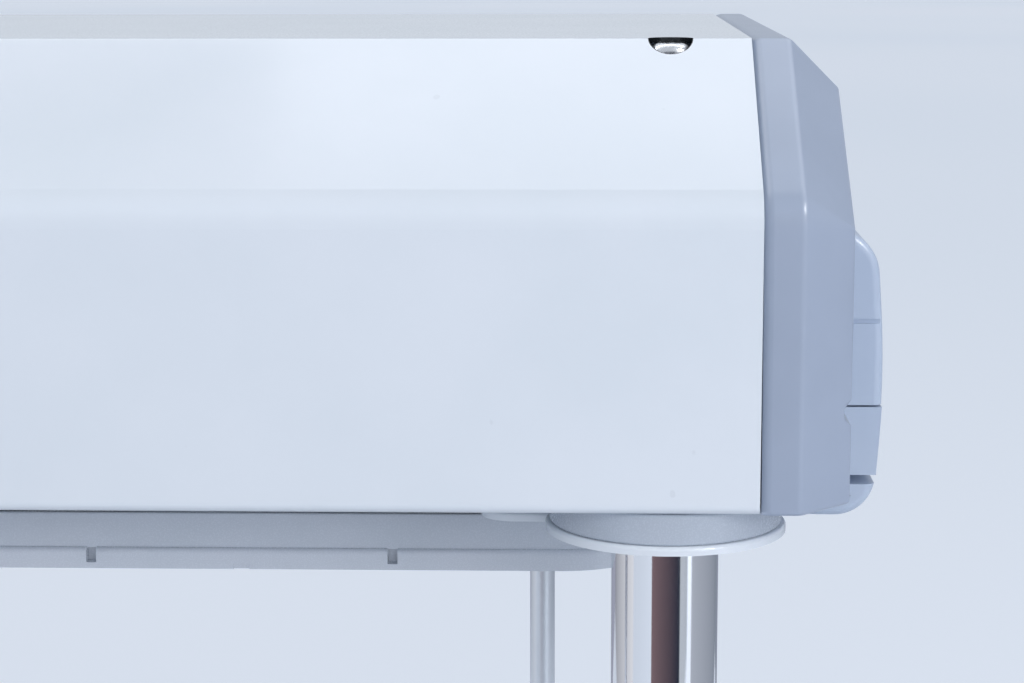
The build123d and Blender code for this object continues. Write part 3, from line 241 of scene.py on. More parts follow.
# Zinc plate over rolled sheet: soft spangled blue-grey with the lines of the rolling.
def zincPlatedRolledSheet():
    material, tree, shader, coords = startMaterial("zincPlatedRolledSheet", {"Metallic": 1.0})
    spangle = grain(tree, coords, 7, detail=4, roughness=0.6)
    lines = grain(tree, coords, 0.4, stretch=(40, 1, 1), detail=3)
    colour = tint(tree, spangle, "#b9bec2", "#cdd1d3")
    return endMaterial(material, shader, colour, (lines, 0.28, 0.42), (lines, 2.5))


# Bead-blasted and clear-anodised aluminium: even, fine, silky grain.
def beadBlastedAluminium():
    material, tree, shader, coords = startMaterial("beadBlastedAluminium", {"Metallic": 1.0})
    cloud = grain(tree, coords, 30, detail=3)
    beads = grain(tree, coords, 0.2, detail=2)
    colour = tint(tree, cloud, "#c6cacf", "#d0d3d7")
    return endMaterial(material, shader, colour, (beads, 0.36, 0.5), (beads, 5))


# Bright rolled reflector sheet: long rolling lines, straw-coloured where it runs hot.
def brightRolledReflector():
    material, tree, shader, coords = startMaterial("brightRolledReflector", {"Metallic": 1.0})
    heat = grain(tree, coords, 38, detail=2)
    lines = grain(tree, coords, 0.3, stretch=(80, 1, 1), detail=3)
    colour = tint(tree, heat, "#d9dbdc", "#cfc4a8", 0.45, 0.7)
    return endMaterial(material, shader, colour, (lines, 0.10, 0.22), (lines, 1.2))


# Fired steatite: cream, close-grained, with iron specks and a dry glaze.
def firedSteatite():
    material, tree, shader, coords = startMaterial("firedSteatite", {"IOR": 1.55})
    cloud = grain(tree, coords, 6, detail=3)
    specks = grain(tree, coords, 0.9, detail=1)
    body = tint(tree, cloud, "#e6dfcd", "#efe9da")
    spotted = tint(tree, specks, body, "#a58f6e", 0.74, 0.8, 0.7)
    return endMaterial(material, shader, spotted, (cloud, 0.42, 0.6), (specks, 12))


# Drawn quartz tube: clear glass whose draw lines run along the tube.
def drawnQuartz():
    settings = {"Base Color": toLinear("#fcfdff"), "IOR": 1.458, "Transmission Weight": 1.0}
    material, tree, shader, coords = startMaterial("drawnQuartz", settings)
    lines = grain(tree, coords, 1.1, stretch=(60, 1, 1), detail=2)
    return endMaterial(material, shader, None, (lines, 0.01, 0.06), (lines, 6))


# Resistance wire after its first firing: brown-grey oxide, patchy and dry.
def oxidisedHeatingWire():
    material, tree, shader, coords = startMaterial("oxidisedHeatingWire", {"Metallic": 0.8})
    scale = grain(tree, coords, 1.4, detail=3)
    colour = tint(tree, scale, "#4a3f3a", "#7d7168")
    return endMaterial(material, shader, colour, (scale, 0.45, 0.7), (scale, 8))


# Pressed mineral board: straw-coloured fibres lying every way in the sheet.
def pressedMineralBoard():
    material, tree, shader, coords = startMaterial("pressedMineralBoard", {"IOR": 1.4})
    along = grain(tree, coords, 0.5, stretch=(12, 1, 1), detail=3)
    across = grain(tree, coords, 0.5, stretch=(1, 12, 1), detail=3)
    crossed = addNode(tree, "ShaderNodeMath", {"operation": "MAXIMUM"}, {0: along, 1: across}).outputs[0]
    colour = tint(tree, crossed, "#b9a983", "#ddd2b4", 0.4, 0.7)
    return endMaterial(material, shader, colour, (crossed, 0.85, 0.98), (crossed, 60))


# Turned acetal bearing: waxy off-white with tool rings round its axis.
def turnedAcetal():
    settings = {"IOR": 1.48, "Subsurface Weight": 0.08, "Subsurface Radius": (0.002, 0.002, 0.002)}
    material, tree, shader, coords = startMaterial("turnedAcetal", settings)
    rings = grain(tree, coords, 0.3, stretch=(40, 40, 1), detail=2)
    cloud = grain(tree, coords, 9, detail=2)
    colour = tint(tree, cloud, "#dedcd3", "#e7e5dd")
    return endMaterial(material, shader, colour, (rings, 0.36, 0.5), (rings, 3))


# Moulded heat-proof silicone: brick red, slightly chalky, with a soft skin.
def mouldedSilicone():
    settings = {"IOR": 1.41, "Subsurface Weight": 0.05, "Subsurface Radius": (0.003, 0.001, 0.001)}
    material, tree, shader, coords = startMaterial("mouldedSilicone", settings)
    chalk = grain(tree, coords, 3, detail=4)
    skin = grain(tree, coords, 0.35, detail=2)
    colour = tint(tree, chalk, "#a8564b", "#bb6d60")
    return endMaterial(material, shader, colour, (skin, 0.5, 0.68), (skin, 10))


# Moulded black rubber: dull, fine-grained, greyed with dust in the low spots.
def mouldedBlackRubber():
    material, tree, shader, coords = startMaterial("mouldedBlackRubber", {"IOR": 1.5})
    dust = grain(tree, coords, 5, detail=4)
    skin = grain(tree, coords, 0.4, detail=3)
    colour = tint(tree, dust, "#1d1e20", "#2f3032")
    return endMaterial(material, shader, colour, (skin, 0.68, 0.86), (skin, 18))


# Drawn spring wire, lightly oiled: grey steel with streaks of the die.
def drawnSpringWire():
    material, tree, shader, coords = startMaterial("drawnSpringWire", {"Metallic": 1.0})
    streaks = grain(tree, coords, 0.5, stretch=(4, 4, 1), detail=3)
    colour = tint(tree, streaks, "#8f9296", "#b4b7ba")
    return endMaterial(material, shader, colour, (streaks, 0.22, 0.38), (streaks, 2))


# Back-printed polycarbonate film: grey-blue, with the fine velvet emboss of its face.
def embossedPolycarbonateFilm():
    material, tree, shader, coords = startMaterial("embossedPolycarbonateFilm", {"IOR": 1.58})
    velvet = grain(tree, coords, 0.22, detail=1)
    cloud = grain(tree, coords, 30, detail=2)
    colour = tint(tree, cloud, "#6f7b90", "#748095")
    return endMaterial(material, shader, colour, (velvet, 0.38, 0.5), (velvet, 6))


# Black polyamide moulding: fine matt texture with a slight gloss on the high spots.
def texturedBlackPolyamide():
    material, tree, shader, coords = startMaterial("texturedBlackPolyamide", {"IOR": 1.53})
    pits = grain(tree, coords, 0.25, detail=2)
    cloud = grain(tree, coords, 8, detail=3)
    colour = tint(tree, cloud, "#17181b", "#202226")
    return endMaterial(material, shader, colour, (pits, 0.26, 0.44), (pits, 5))


# Soft-feel knob moulding: dark blue-grey, matt, a touch lighter where fingers polish it.
def softFeelKnobMoulding():
    material, tree, shader, coords = startMaterial("softFeelKnobMoulding", {"IOR": 1.5})
    touch = grain(tree, coords, 7, detail=3)
    pits = grain(tree, coords, 0.28, detail=2)
    colour = tint(tree, touch, "#444c5a", "#505968")
    return endMaterial(material, shader, colour, (touch, 0.42, 0.6), (pits, 7))


# Lamp lenses of clear dyed acrylic: green on the left, amber on the right, prismed inside.
def dyedAcrylicLens():
    settings = {"IOR": 1.49, "Transmission Weight": 0.35}
    material, tree, shader, coords = startMaterial("dyedAcrylicLens", settings)
    across = addNode(tree, "ShaderNodeSeparateXYZ", {}, {0: coords}).outputs[0]
    side = addNode(tree, "ShaderNodeMath", {"operation": "GREATER_THAN", 1: 0.0}, {0: across}).outputs[0]
    prisms = grain(tree, coords, 0.8, detail=1)
    green = tint(tree, prisms, "#3f9a63", "#63bd84")
    amber = tint(tree, prisms, "#d98a2b", "#f0ab4e")
    both = addNode(tree, "ShaderNodeMix", {"data_type": "RGBA"}, {0: side, 6: green, 7: amber}).outputs[2]
    return endMaterial(material, shader, both, (prisms, 0.08, 0.2), (prisms, 20))


# Sand-cast aluminium: pebbled skin, dull, darker in its pits.
def sandCastAluminium():
    material, tree, shader, coords = startMaterial("sandCastAluminium", {"Metallic": 1.0})
    sand = grain(tree, coords, 0.9, detail=4, roughness=0.6)
    colour = tint(tree, sand, "#84878a", "#a9acae")
    return endMaterial(material, shader, colour, (sand, 0.6, 0.45), (sand, 40))


# Closed-cell foam rubber: charcoal skin full of small bubbles.
def closedCellFoam():
    material, tree, shader, coords = startMaterial("closedCellFoam", {"IOR": 1.4})
    bubble = 0.8 * mm
    mapped = addNode(tree, "ShaderNodeMapping", {"Scale": [1 / bubble] * 3}, {"Vector": coords}).outputs[0]
    cells = addNode(tree, "ShaderNodeTexVoronoi", {"Scale": 1.0}, {"Vector": mapped}).outputs["Distance"]
    colour = tint(tree, cells, "#3b3c3e", "#262729", 0.1, 0.6)
    return endMaterial(material, shader, colour, (cells, 0.8, 0.95, 0, 0.7), (cells, 90))


# Satin powder coat of the frames and housings: pale cool grey, finer and duller than the covers' gloss.
def satinPowderCoat(name, first, second):
    material, tree, shader, coords = startMaterial(name, {"IOR": 1.5})
    cloud = grain(tree, coords, 26, detail=3)
    fine = grain(tree, coords, 0.35, detail=2)
    colour = tint(tree, cloud, first, second)
    return endMaterial(material, shader, colour, (fine, 0.22, 0.30), (fine, 0.8))


# Screen-printed ink on the panel and the rockers: white, slightly thin where the mesh lay.
def screenPrintedInk():
    material, tree, shader, coords = startMaterial("screenPrintedInk", {"IOR": 1.48})
    mesh = grain(tree, coords, 0.3, detail=1)
    colour = tint(tree, mesh, "#dfe3e8", "#f1f3f6")
    return endMaterial(material, shader, colour, (mesh, 0.4, 0.55), (mesh, 3))


finishes = {
    "white_enamel": whitePowderCoatOnSheet(),
    "frame_enamel": satinPowderCoat("satinPowderCoatedPlate", "#d2d8e0", "#d7dce4"),
    "grey_moulding": sparkGrainedAbs("sparkGrainedGreyAbs", "#a0abbe", "#a4afc2"),
    "chromed_steel": groundAndChromedBar(),
    "zinc_steel": zincPlatedRolledSheet(),
    "aluminium": beadBlastedAluminium(),
    "polished_aluminium": brightRolledReflector(),
    "steatite": firedSteatite(),
    "quartz": drawnQuartz(),
    "resistance_wire": oxidisedHeatingWire(),
    "mineral_wool": pressedMineralBoard(),
    "bearing_polymer": turnedAcetal(),
    "silicone": mouldedSilicone(),
    "black_rubber": mouldedBlackRubber(),
    "spring_steel": drawnSpringWire(),
    "panel_film": embossedPolycarbonateFilm(),
    "black_plastic": texturedBlackPolyamide(),
    "knob_plastic": softFeelKnobMoulding(),
    "lamp_lens": dyedAcrylicLens(),
    "cast_aluminium": sandCastAluminium(),
    "foam_rubber": closedCellFoam(),
}
screwChrome = barrelChromedScrew()
printInk = screenPrintedInk()
# Housings get a darker grey copy of the satin coat: partly a greyer coat of their own, partly painted shade
# standing in for the shade under the head's front edge
housingCoatWithPaintedShade = satinPowderCoat("satinPowderCoatedHousingPaintedShade", "#b5bdc8", "#bac2cd")
# Lighter copy of the grey ABS for the grey mouldings other than the caps: painted light, standing in for
# light that falls on the handles
handleAbsPaintedLighter = sparkGrainedAbs("sparkGrainedAbsPaintedLighter", "#bcc9dc", "#c2cee0")
nodeFinishes = {
    "head_screws": screwChrome,
    "handle_screws": screwChrome,
    "latch_pins": screwChrome,
    "guide_rod": oiledGroundRod(),
    "head_chassis": finishes["frame_enamel"],  # the pan under the head is coated like the clamp frames
}


# Every solid of the frame gets the finish of its slot, unless it has one of its own.
def dressNodes():
    for subpart in frame["record"]["subparts"]:
        name, slotName = subpart["node"], subpart["material_slot"]
        finish = nodeFinishes.get(name, finishes[slotName])
        # Grey mouldings other than the caps take the lighter copy of the grey ABS, which is painted light.
        if slotName == "grey_moulding" and "cap" not in name:
            finish = handleAbsPaintedLighter
        for place in nodes[name].material_slots:
            place.material = finish


dressNodes()
print("materials made")


# Path of straight runs with round corners. A corner of no radius stays one point, and one in line
# with its neighbours is spread over its radius. The others are arcs that start a tangent length
# early: start + r (ahead sin a + side (1 - cos a)).
def roundPath(corners, radii, steps=8, straight=1e-6):
    corners = np.array(corners, float)
    parts = [corners[:1]]
    for before, corner, after, radius in zip(corners[:-2], corners[1:-1], corners[2:], radii):
        ahead = (corner - before) / np.linalg.norm(corner - before)
        onward = (after - corner) / np.linalg.norm(after - corner)
        turn = math.acos(min(1.0, max(-1.0, float(ahead @ onward))))
        if radius == 0:
            parts.append(corner[None])
        elif turn < straight:
            parts.append(corner + ahead * np.linspace(-radius, radius, steps)[:, None])
        else:
            side = (onward - ahead * (ahead @ onward)) / math.sin(turn)
            angle = np.linspace(0, turn, steps)[:, None]
            start = corner - ahead * radius * math.tan(turn / 2)
            parts.append(start + radius * (ahead * np.sin(angle) + side * (1 - np.cos(angle))))
    parts.append(corners[-1:])
    return np.concatenate(parts)


# Quads of a grid of rows and columns; a ring joins its last column to its first
def gridFaces(rows, columns, ring, offset):
    index = offset + np.arange(rows * columns).reshape(rows, columns)
    if ring:
        index = np.concatenate([index, index[:, :1]], axis=1)
    return np.stack([index[:-1, :-1], index[1:, :-1], index[1:, 1:], index[:-1, 1:]], axis=-1).reshape(-1, 4)


# Mesh object from grids in millimetres, welded where they meet and turned outwards
def makePiece(name, grids, finish, ring=False, sharp=32, weld=0.002):
    points, faces, offset = [], [], 0
    for grid in grids:
        rows, columns = grid.shape[:2]
        points.append(grid.reshape(-1, 3) * mm)
        faces.append(gridFaces(rows, columns, ring, offset))
        offset += rows * columns
    mesh = bpy.data.meshes.new(name)
    mesh.from_pydata(np.concatenate(points).tolist(), [], np.concatenate(faces).tolist())
    welded = bmesh.new()
    welded.from_mesh(mesh)
    bmesh.ops.remove_doubles(welded, verts=welded.verts, dist=weld * mm)
    bmesh.ops.recalc_face_normals(welded, faces=welded.faces)
    welded.to_mesh(mesh)
    welded.free()
    mesh.shade_smooth()
    mesh.set_sharp_from_angle(angle=math.radians(sharp))
    mesh.materials.append(finish)
    piece = bpy.data.objects.new(name, mesh)
    bpy.context.scene.collection.objects.link(piece)
    return piece


def settle(piece, body, slotName, *replaced):
    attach(piece, body)
    if replaced:
        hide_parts(*replaced)
    return piece


def addWall(piece, thickness):
    wall = piece.modifiers.new("wall", "SOLIDIFY")
    wall.thickness, wall.offset = thickness * mm, -1


# Grid turned about the Z axis: (r cos a, r sin a, z) for a profile of r and z
def latheGrid(profile, sides):
    profile = np.array(profile, float)
    angle = np.linspace(0, 2 * math.pi, sides, endpoint=False)
    radius, height = profile[:, :1], profile[:, 1:]
    return np.stack([radius * np.cos(angle), radius * np.sin(angle), height + 0 * angle], axis=-1)


# Grid laid out on three axes from an origin
def placed(grid, origin, across=(1, 0, 0), along=(0, 1, 0), up=(0, 0, 1)):
    return grid @ np.array([across, along, up], float) + np.array(origin, float)


# Round wire wound about Z. Its centre is (R cos t, R sin t, z). The height rises slowly over the end
# turns, and R draws in to nothing over the turns named by the lead. Each ring lies on the radial
# direction and the one square to it and to the wire.
def coilGrid(coil):
    turns, wire = coil["turns"], coil["wire"]
    share = np.linspace(0, 1, int(turns * coil["stepsPerTurn"]))
    angle = 2 * math.pi * turns * share
    rise = share - coil["endEase"] * np.sin(2 * math.pi * share) / (2 * math.pi)
    height = wire / 2 + (coil["length"] - wire) * rise
    zero = 0 * angle
    outward = np.stack([np.cos(angle), np.sin(angle), zero], axis=-1)
    reach = coil["radius"] + zero
    if coil["leadTurns"]:
        reach = reach * np.clip(np.minimum(share, 1 - share) * turns / coil["leadTurns"], 0, 1)
    centre = reach[:, None] * outward + np.stack([zero, zero, height], axis=-1)
    run = np.gradient(centre, axis=0)
    run /= np.linalg.norm(run, axis=1, keepdims=True)
    square = np.cross(run, outward)
    square /= np.linalg.norm(square, axis=1, keepdims=True)
    around = np.linspace(0, 2 * math.pi, coil["sides"], endpoint=False)[None, :, None]
    ring = centre[:, None] + wire / 2 * (np.cos(around) * outward[:, None] + np.sin(around) * square[:, None])
    start, end = [np.repeat(tip[:, None], coil["sides"], axis=1) for tip in (centre[:1], centre[-1:])]
    return np.concatenate([start, ring, end])


capShape = {
    "wall": 2.2,
    "seamGap": 0.03,  # at the top, growing downwards to the next
    "seamGapBelow": 0.35,
    "seamDrop": 0.6,
    "seamBand": 2.2,
    "seamRound": 1.5,
    "strip": 9.0,
    "stripRound": 2.6,
    "chamfer": 12.0,
    "faceRound": 1.3,
    "faceBorder": 3.0,
    "bottomRound": 1.0,
    "bottomPower": 6,
    "foldRadius": 10.0,
    "foldLoss": 0.75,  # radius lost for each mm of inset
    "creaseRadius": 1.6,
    "creaseLoss": 0.1,
    "leastRadius": 1.2,
    "lipRound": 0.35,
    "lipRows": 5,
    "grooveSteps": (1.2, 1, 0.7),  # depths of the chamfer's extra rows, as shares of the groove's
}
headForm = {"rise": 34.0, "run": 51.0, "slopedBack": True, "groove": True}
baseForm = {"rise": 68.0, "run": 55.0, "slopedBack": False, "groove": False}
latchGroove = {"height": 21.2, "mouth": 6.0, "floor": 2.0, "depth": 1.8}


# Outline of a cap in the Y-Z plane, moved in by an inset: up the front, over the top and down the
# back. A slanted side moved in by d meets the upright one d (slope - rise) / run lower.
def capOutline(low, high, form, shape, inset, levels):
    rise, run = form["rise"], form["run"]
    slope = math.hypot(rise, run)
    shoulderZ = high[2] - rise - inset * (slope - rise) / run
    creaseY = low[1] + run + inset * (slope - run) / rise
    frontY, backY, topZ = low[1] + inset, high[1] - inset, high[2] - inset
    fold = max(shape["foldRadius"] - shape["foldLoss"] * inset, shape["leastRadius"])
    crease = max(shape["creaseRadius"] - shape["creaseLoss"] * inset, shape["leastRadius"])
    front = [(frontY + 2 * shape["bottomRound"], low[2]), (frontY, low[2])]
    front += [(frontY, level) for level in levels] + [(frontY, shoulderZ), (creaseY, topZ)]
    back = [(low[1] + high[1] - y, z) for y, z in front[::-1]]
    if not form["slopedBack"]:
        back[:2] = [(backY, topZ), (backY, shoulderZ)]
    radii = [shape["bottomRound"], *[0] * len(levels), fold, crease]
    return roundPath(front + back, radii + radii[::-1])


# Depth of the groove at a height u off its middle, as a share: (mouth - u) / (mouth - floor) kept
# between 0 and 1, and averaged over the lip round on both sides, which rounds its corners.
def grooveShare(off, lip, samples=9):
    mouth, floor = latchGroove["mouth"] / 2, latchGroove["floor"] / 2
    near = [mouth + shift - np.abs(off) for shift in np.linspace(-lip, lip, samples)]
    return np.mean([np.clip(part / (mouth - floor), 0, 1) for part in near], axis=0)


# Skin of a cap, open towards the cover. Its section runs in (inset, X) from the seam over the strip
# and the chamfer to the flat face, and each point of the section is an outline. X grows by the seam
# gap, which fades from the seam to the chamfer, and stays under face - depth * grooveShare. Near the
# bottom it shrinks by t^6 b (1 - sqrt(1 - (1 - h / b)^2)) for a height h under the bottom round b,
# where t goes from 0 at the seam to 1 at the face. The face and the bottom are ruled from the front
# half to the back half.
def capGrids(node, form, shape, side):
    low, high = [np.array(corner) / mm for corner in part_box(node)]
    faceX = max(abs(low[0]), abs(high[0]))
    stripX = faceX - shape["chamfer"]
    seamX = stripX - shape["strip"] + shape["seamGap"]
    middle, depth, lip = low[2] + latchGroove["height"], latchGroove["depth"], shape["lipRound"]
    corners = [(shape["seamDrop"], seamX), (0, seamX + shape["seamBand"]), (0, stripX)]
    radii = [shape["seamRound"], shape["stripRound"]]
    levels = ()
    if form["groove"]:
        steps = np.linspace(-lip, lip, shape["lipRows"])
        offs = np.concatenate([latchGroove["mouth"] / 2 + steps, latchGroove["floor"] / 2 + steps])
        levels = tuple(np.sort(np.concatenate([middle - offs, middle + offs])))
        corners += [(shape["chamfer"] - depth * step, faceX - depth * step) for step in shape["grooveSteps"]]
        radii += [0] * len(shape["grooveSteps"])
    corners += [(shape["chamfer"], faceX), (shape["chamfer"] + shape["faceBorder"], faceX)]
    section = roundPath(corners, radii + [shape["faceRound"]])
    outlines = np.stack([capOutline(low, high, form, shape, inset, levels) for inset in section[:, 0]])
    across = np.repeat(section[:, 1:], outlines.shape[1], axis=1)
    height = outlines[..., 1] - low[2]
    below = 1 - np.clip(height / (high[2] - low[2] - form["rise"]), 0, 1)
    gap = (shape["seamGapBelow"] - shape["seamGap"]) * below
    across = across + gap * np.clip((stripX - across) / shape["strip"], 0, 1)
    if form["groove"]:
        across = np.minimum(across, faceX - depth * grooveShare(outlines[..., 1] - middle, lip))
    share = np.clip((across - seamX) / (faceX - seamX), 0, 1)
    turned = 1 - np.clip(height / shape["bottomRound"], 0, 1)
    across = across - share ** shape["bottomPower"] * shape["bottomRound"] * (1 - np.sqrt(1 - turned ** 2))
    rim = np.concatenate([side * across[..., None], outlines], axis=-1)
    columns = rim.shape[1] // 2
    face = np.stack([rim[-1, :columns], rim[-1, :-columns - 1:-1]])
    front, back, inward = rim[:-1, 0], rim[:-1, -1], rim[-1, 0] - rim[-2, 0]
    bottom = np.stack([front, front + inward, back - inward, back])
    return [rim, face, bottom]


leftAndRight = {"left": -1, "right": 1}
for sideName, side in leftAndRight.items():
    for node, form in (("end_cap_" + sideName, headForm), ("base_cap_" + sideName, baseForm)):
        cap = makePiece(node + "_moulding", capGrids(node, form, capShape, side), finishes["grey_moulding"])
        addWall(cap, capShape["wall"])
        settle(cap, "frame", "grey_moulding", node)
print("end caps made")


# Housing on the front columns: its lower edge is rounded, which leaves a thin dark line under it
postHousing = {
    "x": 105.0,
    "y": -91.0,
    "bore": 15.1,
    "radius": 27.0,
    "low": 347.5,
    "high": 354.7,
    "topRound": 1.0,
    "foot": 0.7,
    "columns": 160,
}


def makeHousings(housing):
    bore, radius, low, high = (housing[key] for key in ("bore", "radius", "low", "high"))
    corners = [(bore, low), (radius, low), (radius, high), (bore, high)]
    profile = roundPath(corners, [housing["foot"], housing["topRound"]])
    profile = np.concatenate([profile, profile[:1]])
    for sideName, side in leftAndRight.items():
        grid = placed(latheGrid(profile, housing["columns"]), (side * housing["x"], housing["y"], 0))
        # The housings take the darker coat, which is partly painted shade.
        piece = makePiece("post_housing_" + sideName, [grid], housingCoatWithPaintedShade, ring=True)
        settle(piece, "carriage", "frame_enamel", "post_bushing_" + sideName)


makeHousings(postHousing)
print("housings made")


# Rim bent up along the edge of the upper clamp frame, leaning inwards: insets of its foot and its top
clampRim = {
    "halfWidth": 105.0,
    "middleY": 27.5,
    "halfDepth": 82.5,
    "corner": 25.0,
    "cornerSteps": 12,
    "foot": 1.6,
    "top": 5.0,
    "wall": 1.8,
    "low": 330.0,
    "high": 338.2,
    "topRound": 0.8,
}


# Each point (inset, Z) of the rim's section is a rounded rectangle moved in by its inset.
def makeClampRim(rim):
    foot, top, wall = rim["foot"], rim["top"], rim["wall"]
    ends = [(foot, rim["low"]), (top, rim["high"]), (top + wall, rim["high"]), (foot + wall, rim["low"])]
    section = roundPath(ends, [rim["topRound"]] * 2)
    rows = []
    for inset, level in np.concatenate([section, section[:1]]):
        x, y = rim["halfWidth"] - inset, rim["halfDepth"] - inset
        corners = [(0, -y), (x, -y), (x, y), (-x, y), (-x, -y), (0, -y)]
        loop = roundPath(corners, [rim["corner"] - inset] * 4, rim["cornerSteps"]) + (0, rim["middleY"])
        rows.append(np.column_stack([loop, np.full(len(loop), level)]))
    settle(makePiece("clamp_frame_rim", [np.stack(rows)], finishes["frame_enamel"]), "clamp", "frame_enamel")


makeClampRim(clampRim)
print("clamp rim made")


clampSpring = {
    "radius": 6.4,
    "wire": 1.6,
    "length": 15.3,
    "turns": 5,
    "endEase": 0.6,
    "leadTurns": 0,
    "stepsPerTurn": 22,
    "sides": 10,
}
clampSpringPlaces = {"x": 88.0, "y": 27.5, "spread": 40.0, "z": 330.2}
heatingCoil = {
    "radius": 2.7,
    "wire": 0.9,
    "length": 118.0,
    "turns": 52,
    "endEase": 0,
    "leadTurns": 1.5,
    "stepsPerTurn": 12,
    "sides": 6,
}
heatingCoilPlaces = {"count": 4, "y": 27.5, "pitch": 32.0, "z": 377.0, "lead": 1.2, "overlap": 1, "end": 73.0}
latchSpring = {
    "radius": 2.85,
    "wire": 1.0,
    "length": 3.6,
    "turns": 3.25,
    "endEase": 0.1,
    "leadTurns": 0,
    "stepsPerTurn": 20,
    "sides": 8,
}
latchSpringPlaces = {"x": 153.2, "y": 9.1, "z": 363.0}


# The clamp's lift takes 7 mm from the springs, which leaves 0.542 of their length.
def makeClampSprings(coil, places):
    wound = coilGrid(coil)
    grids = []
    for x in (-places["x"], places["x"]):
        for y in (places["y"] - places["spread"], places["y"] + places["spread"]):
            grids.append(placed(wound, (x, y, places["z"])))
    springs = makePiece("clamp_springs_wound", grids, finishes["spring_steel"], ring=True, sharp=60)
    settle(springs, "carriage", "spring_steel", "clamp_springs")
    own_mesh(springs)


# Each coil lies along X, with a straight lead at both ends: a lathe profile from the end of the
# wound part to the end of the tube holder.
def makeHeatingCoils(coil, places):
    wound = coilGrid(coil)
    half, radius, end = coil["length"] / 2, places["lead"], places["end"]
    start = half - places["overlap"]
    lead = latheGrid([(0, start), (radius, start), (radius, end), (0, end)], coil["sides"])
    alongX = {"across": (0, 1, 0), "along": (0, 0, 1), "up": (1, 0, 0)}
    grids = []
    for number in range(places["count"]):
        y = places["y"] + (number - (places["count"] - 1) / 2) * places["pitch"]
        grids.append(placed(wound, (-half, y, places["z"]), **alongX))
        grids.append(placed(lead, (0, y, places["z"]), **alongX))
        grids.append(placed(lead * (1, 1, -1), (0, y, places["z"]), **alongX))
    coils = makePiece("heating_coils_wound", grids, finishes["resistance_wire"], ring=True, sharp=60)
    settle(coils, "frame", "resistance_wire", "heating_coils")


def makeLatchSprings(coil, places):
    wound = coilGrid(coil)
    alongY = {"across": (0, 0, 1), "along": (1, 0, 0), "up": (0, 1, 0)}
    grids = [placed(wound, (x, places["y"], places["z"]), **alongY) for x in (-places["x"], places["x"])]
    springs = makePiece("latch_springs_wound", grids, finishes["spring_steel"], ring=True, sharp=60)
    settle(springs, "carriage", "spring_steel", "latch_springs")


makeClampSprings(clampSpring, clampSpringPlaces)
makeHeatingCoils(heatingCoil, heatingCoilPlaces)
makeLatchSprings(latchSpring, latchSpringPlaces)
print("springs and heating coils wound")


bracketScrew = {
    "radius": 4.9,
    "height": 3.6,
    "edge": 2.3,
    "shank": 2.5,
    "shankLength": 6.0,
    "armReach": 2.7,
    "armWidth": 1.1,
    "armDepth": 2.0,
}
smallScrew = {
    "radius": 3.8,
    "height": 2.6,
    "edge": 1.7,
    "shank": 1.95,
    "shankLength": 9.0,
    "armReach": 2.1,
    "armWidth": 0.9,
    "armDepth": 1.5,
}
screwCut = {
    "seatBevel": 0.15,
    "armSlope": 0.12,
    "endSlope": 0.5,
    "flatRows": 22,
    "bendRows": 10,
    "columns": 72,
}
screwPlaces = {
    "bracket": {"x": 106.0, "y": -69.0, "z": 453.2, "turn": 0.8},
    "cap": {"x": 117.5, "y": 27.5, "spread": 52.5, "z": 395.0, "length": 8.0, "turn": 0.4},
    "handle": {"x": 136.3, "y": 35.0, "spread": 15.0, "z": 347.5, "turn": 0.6},
}


# Pan-head screw about Z with its seat at 0. The head is h - e (1 - sqrt(1 - ((r - R + e) / e)^2)) high
# near its edge. The cross recess sinks by depth times how far a point lies inside an arm, where the
# nearer of |x| and |y| is under half the arm's width and the other is under its reach.
def screwGrid(screw, turn):
    radius, height, edge = screw["radius"], screw["height"], screw["edge"]
    shank, tip, bevel = screw["shank"], -screw["shankLength"], screwCut["seatBevel"]
    flat = np.linspace(0, radius - edge, screwCut["flatRows"])
    bend = np.linspace(0, 1, screwCut["bendRows"])[1:]
    rounded = radius - edge + edge * np.sin(bend * math.pi / 2)
    crown = height - edge * (1 - np.cos(bend * math.pi / 2))
    top = np.stack([np.concatenate([flat, rounded]), np.concatenate([height + 0 * flat, crown])], axis=-1)
    below = [(radius, bevel), (radius - bevel, 0), (shank, 0), (shank, tip), (0, tip)]
    grid = latheGrid(np.concatenate([top, below]), screwCut["columns"])
    x, y = np.abs(grid[:len(top), :, 0]), np.abs(grid[:len(top), :, 1])
    inArm = np.clip((screw["armWidth"] / 2 - np.minimum(x, y)) / screwCut["armSlope"] + 1, 0, 1)
    inReach = np.clip((screw["armReach"] - np.maximum(x, y)) / screwCut["endSlope"], 0, 1)
    grid[:len(top), :, 2] -= screw["armDepth"] * inArm * inReach
    spun = np.array([[math.cos(turn), math.sin(turn), 0], [-math.sin(turn), math.cos(turn), 0], [0, 0, 1]])
    return grid @ spun


def makeScrews(places):
    bracket, cap, handle = places["bracket"], places["cap"], places["handle"]
    headGrids, handleGrids = [], []
    for side in (-1, 1):
        spot = (side * bracket["x"], bracket["y"], bracket["z"])
        headGrids.append(placed(screwGrid(bracketScrew, bracket["turn"] - side), spot))
        for end in (-1, 1):
            spot = (side * cap["x"], cap["y"] + end * cap["spread"], cap["z"])
            screw = screwGrid({**smallScrew, "shankLength": cap["length"]}, cap["turn"] + end)
            headGrids.append(placed(screw, spot, (0, 1, 0), (0, 0, 1), (-side, 0, 0)))
            spot = (side * handle["x"], handle["y"] + end * handle["spread"], handle["z"])
            handleGrids.append(placed(screwGrid(smallScrew, handle["turn"] * end + side), spot))
    headScrews = makePiece("head_screws_recessed", headGrids, screwChrome, ring=True)
    settle(headScrews, "frame", "zinc_steel", "head_screws")
    handleScrews = makePiece("handle_screws_recessed", handleGrids, screwChrome, ring=True)
    settle(handleScrews, "carriage", "zinc_steel", "handle_screws")


makeScrews(screwPlaces)
print("screws made")


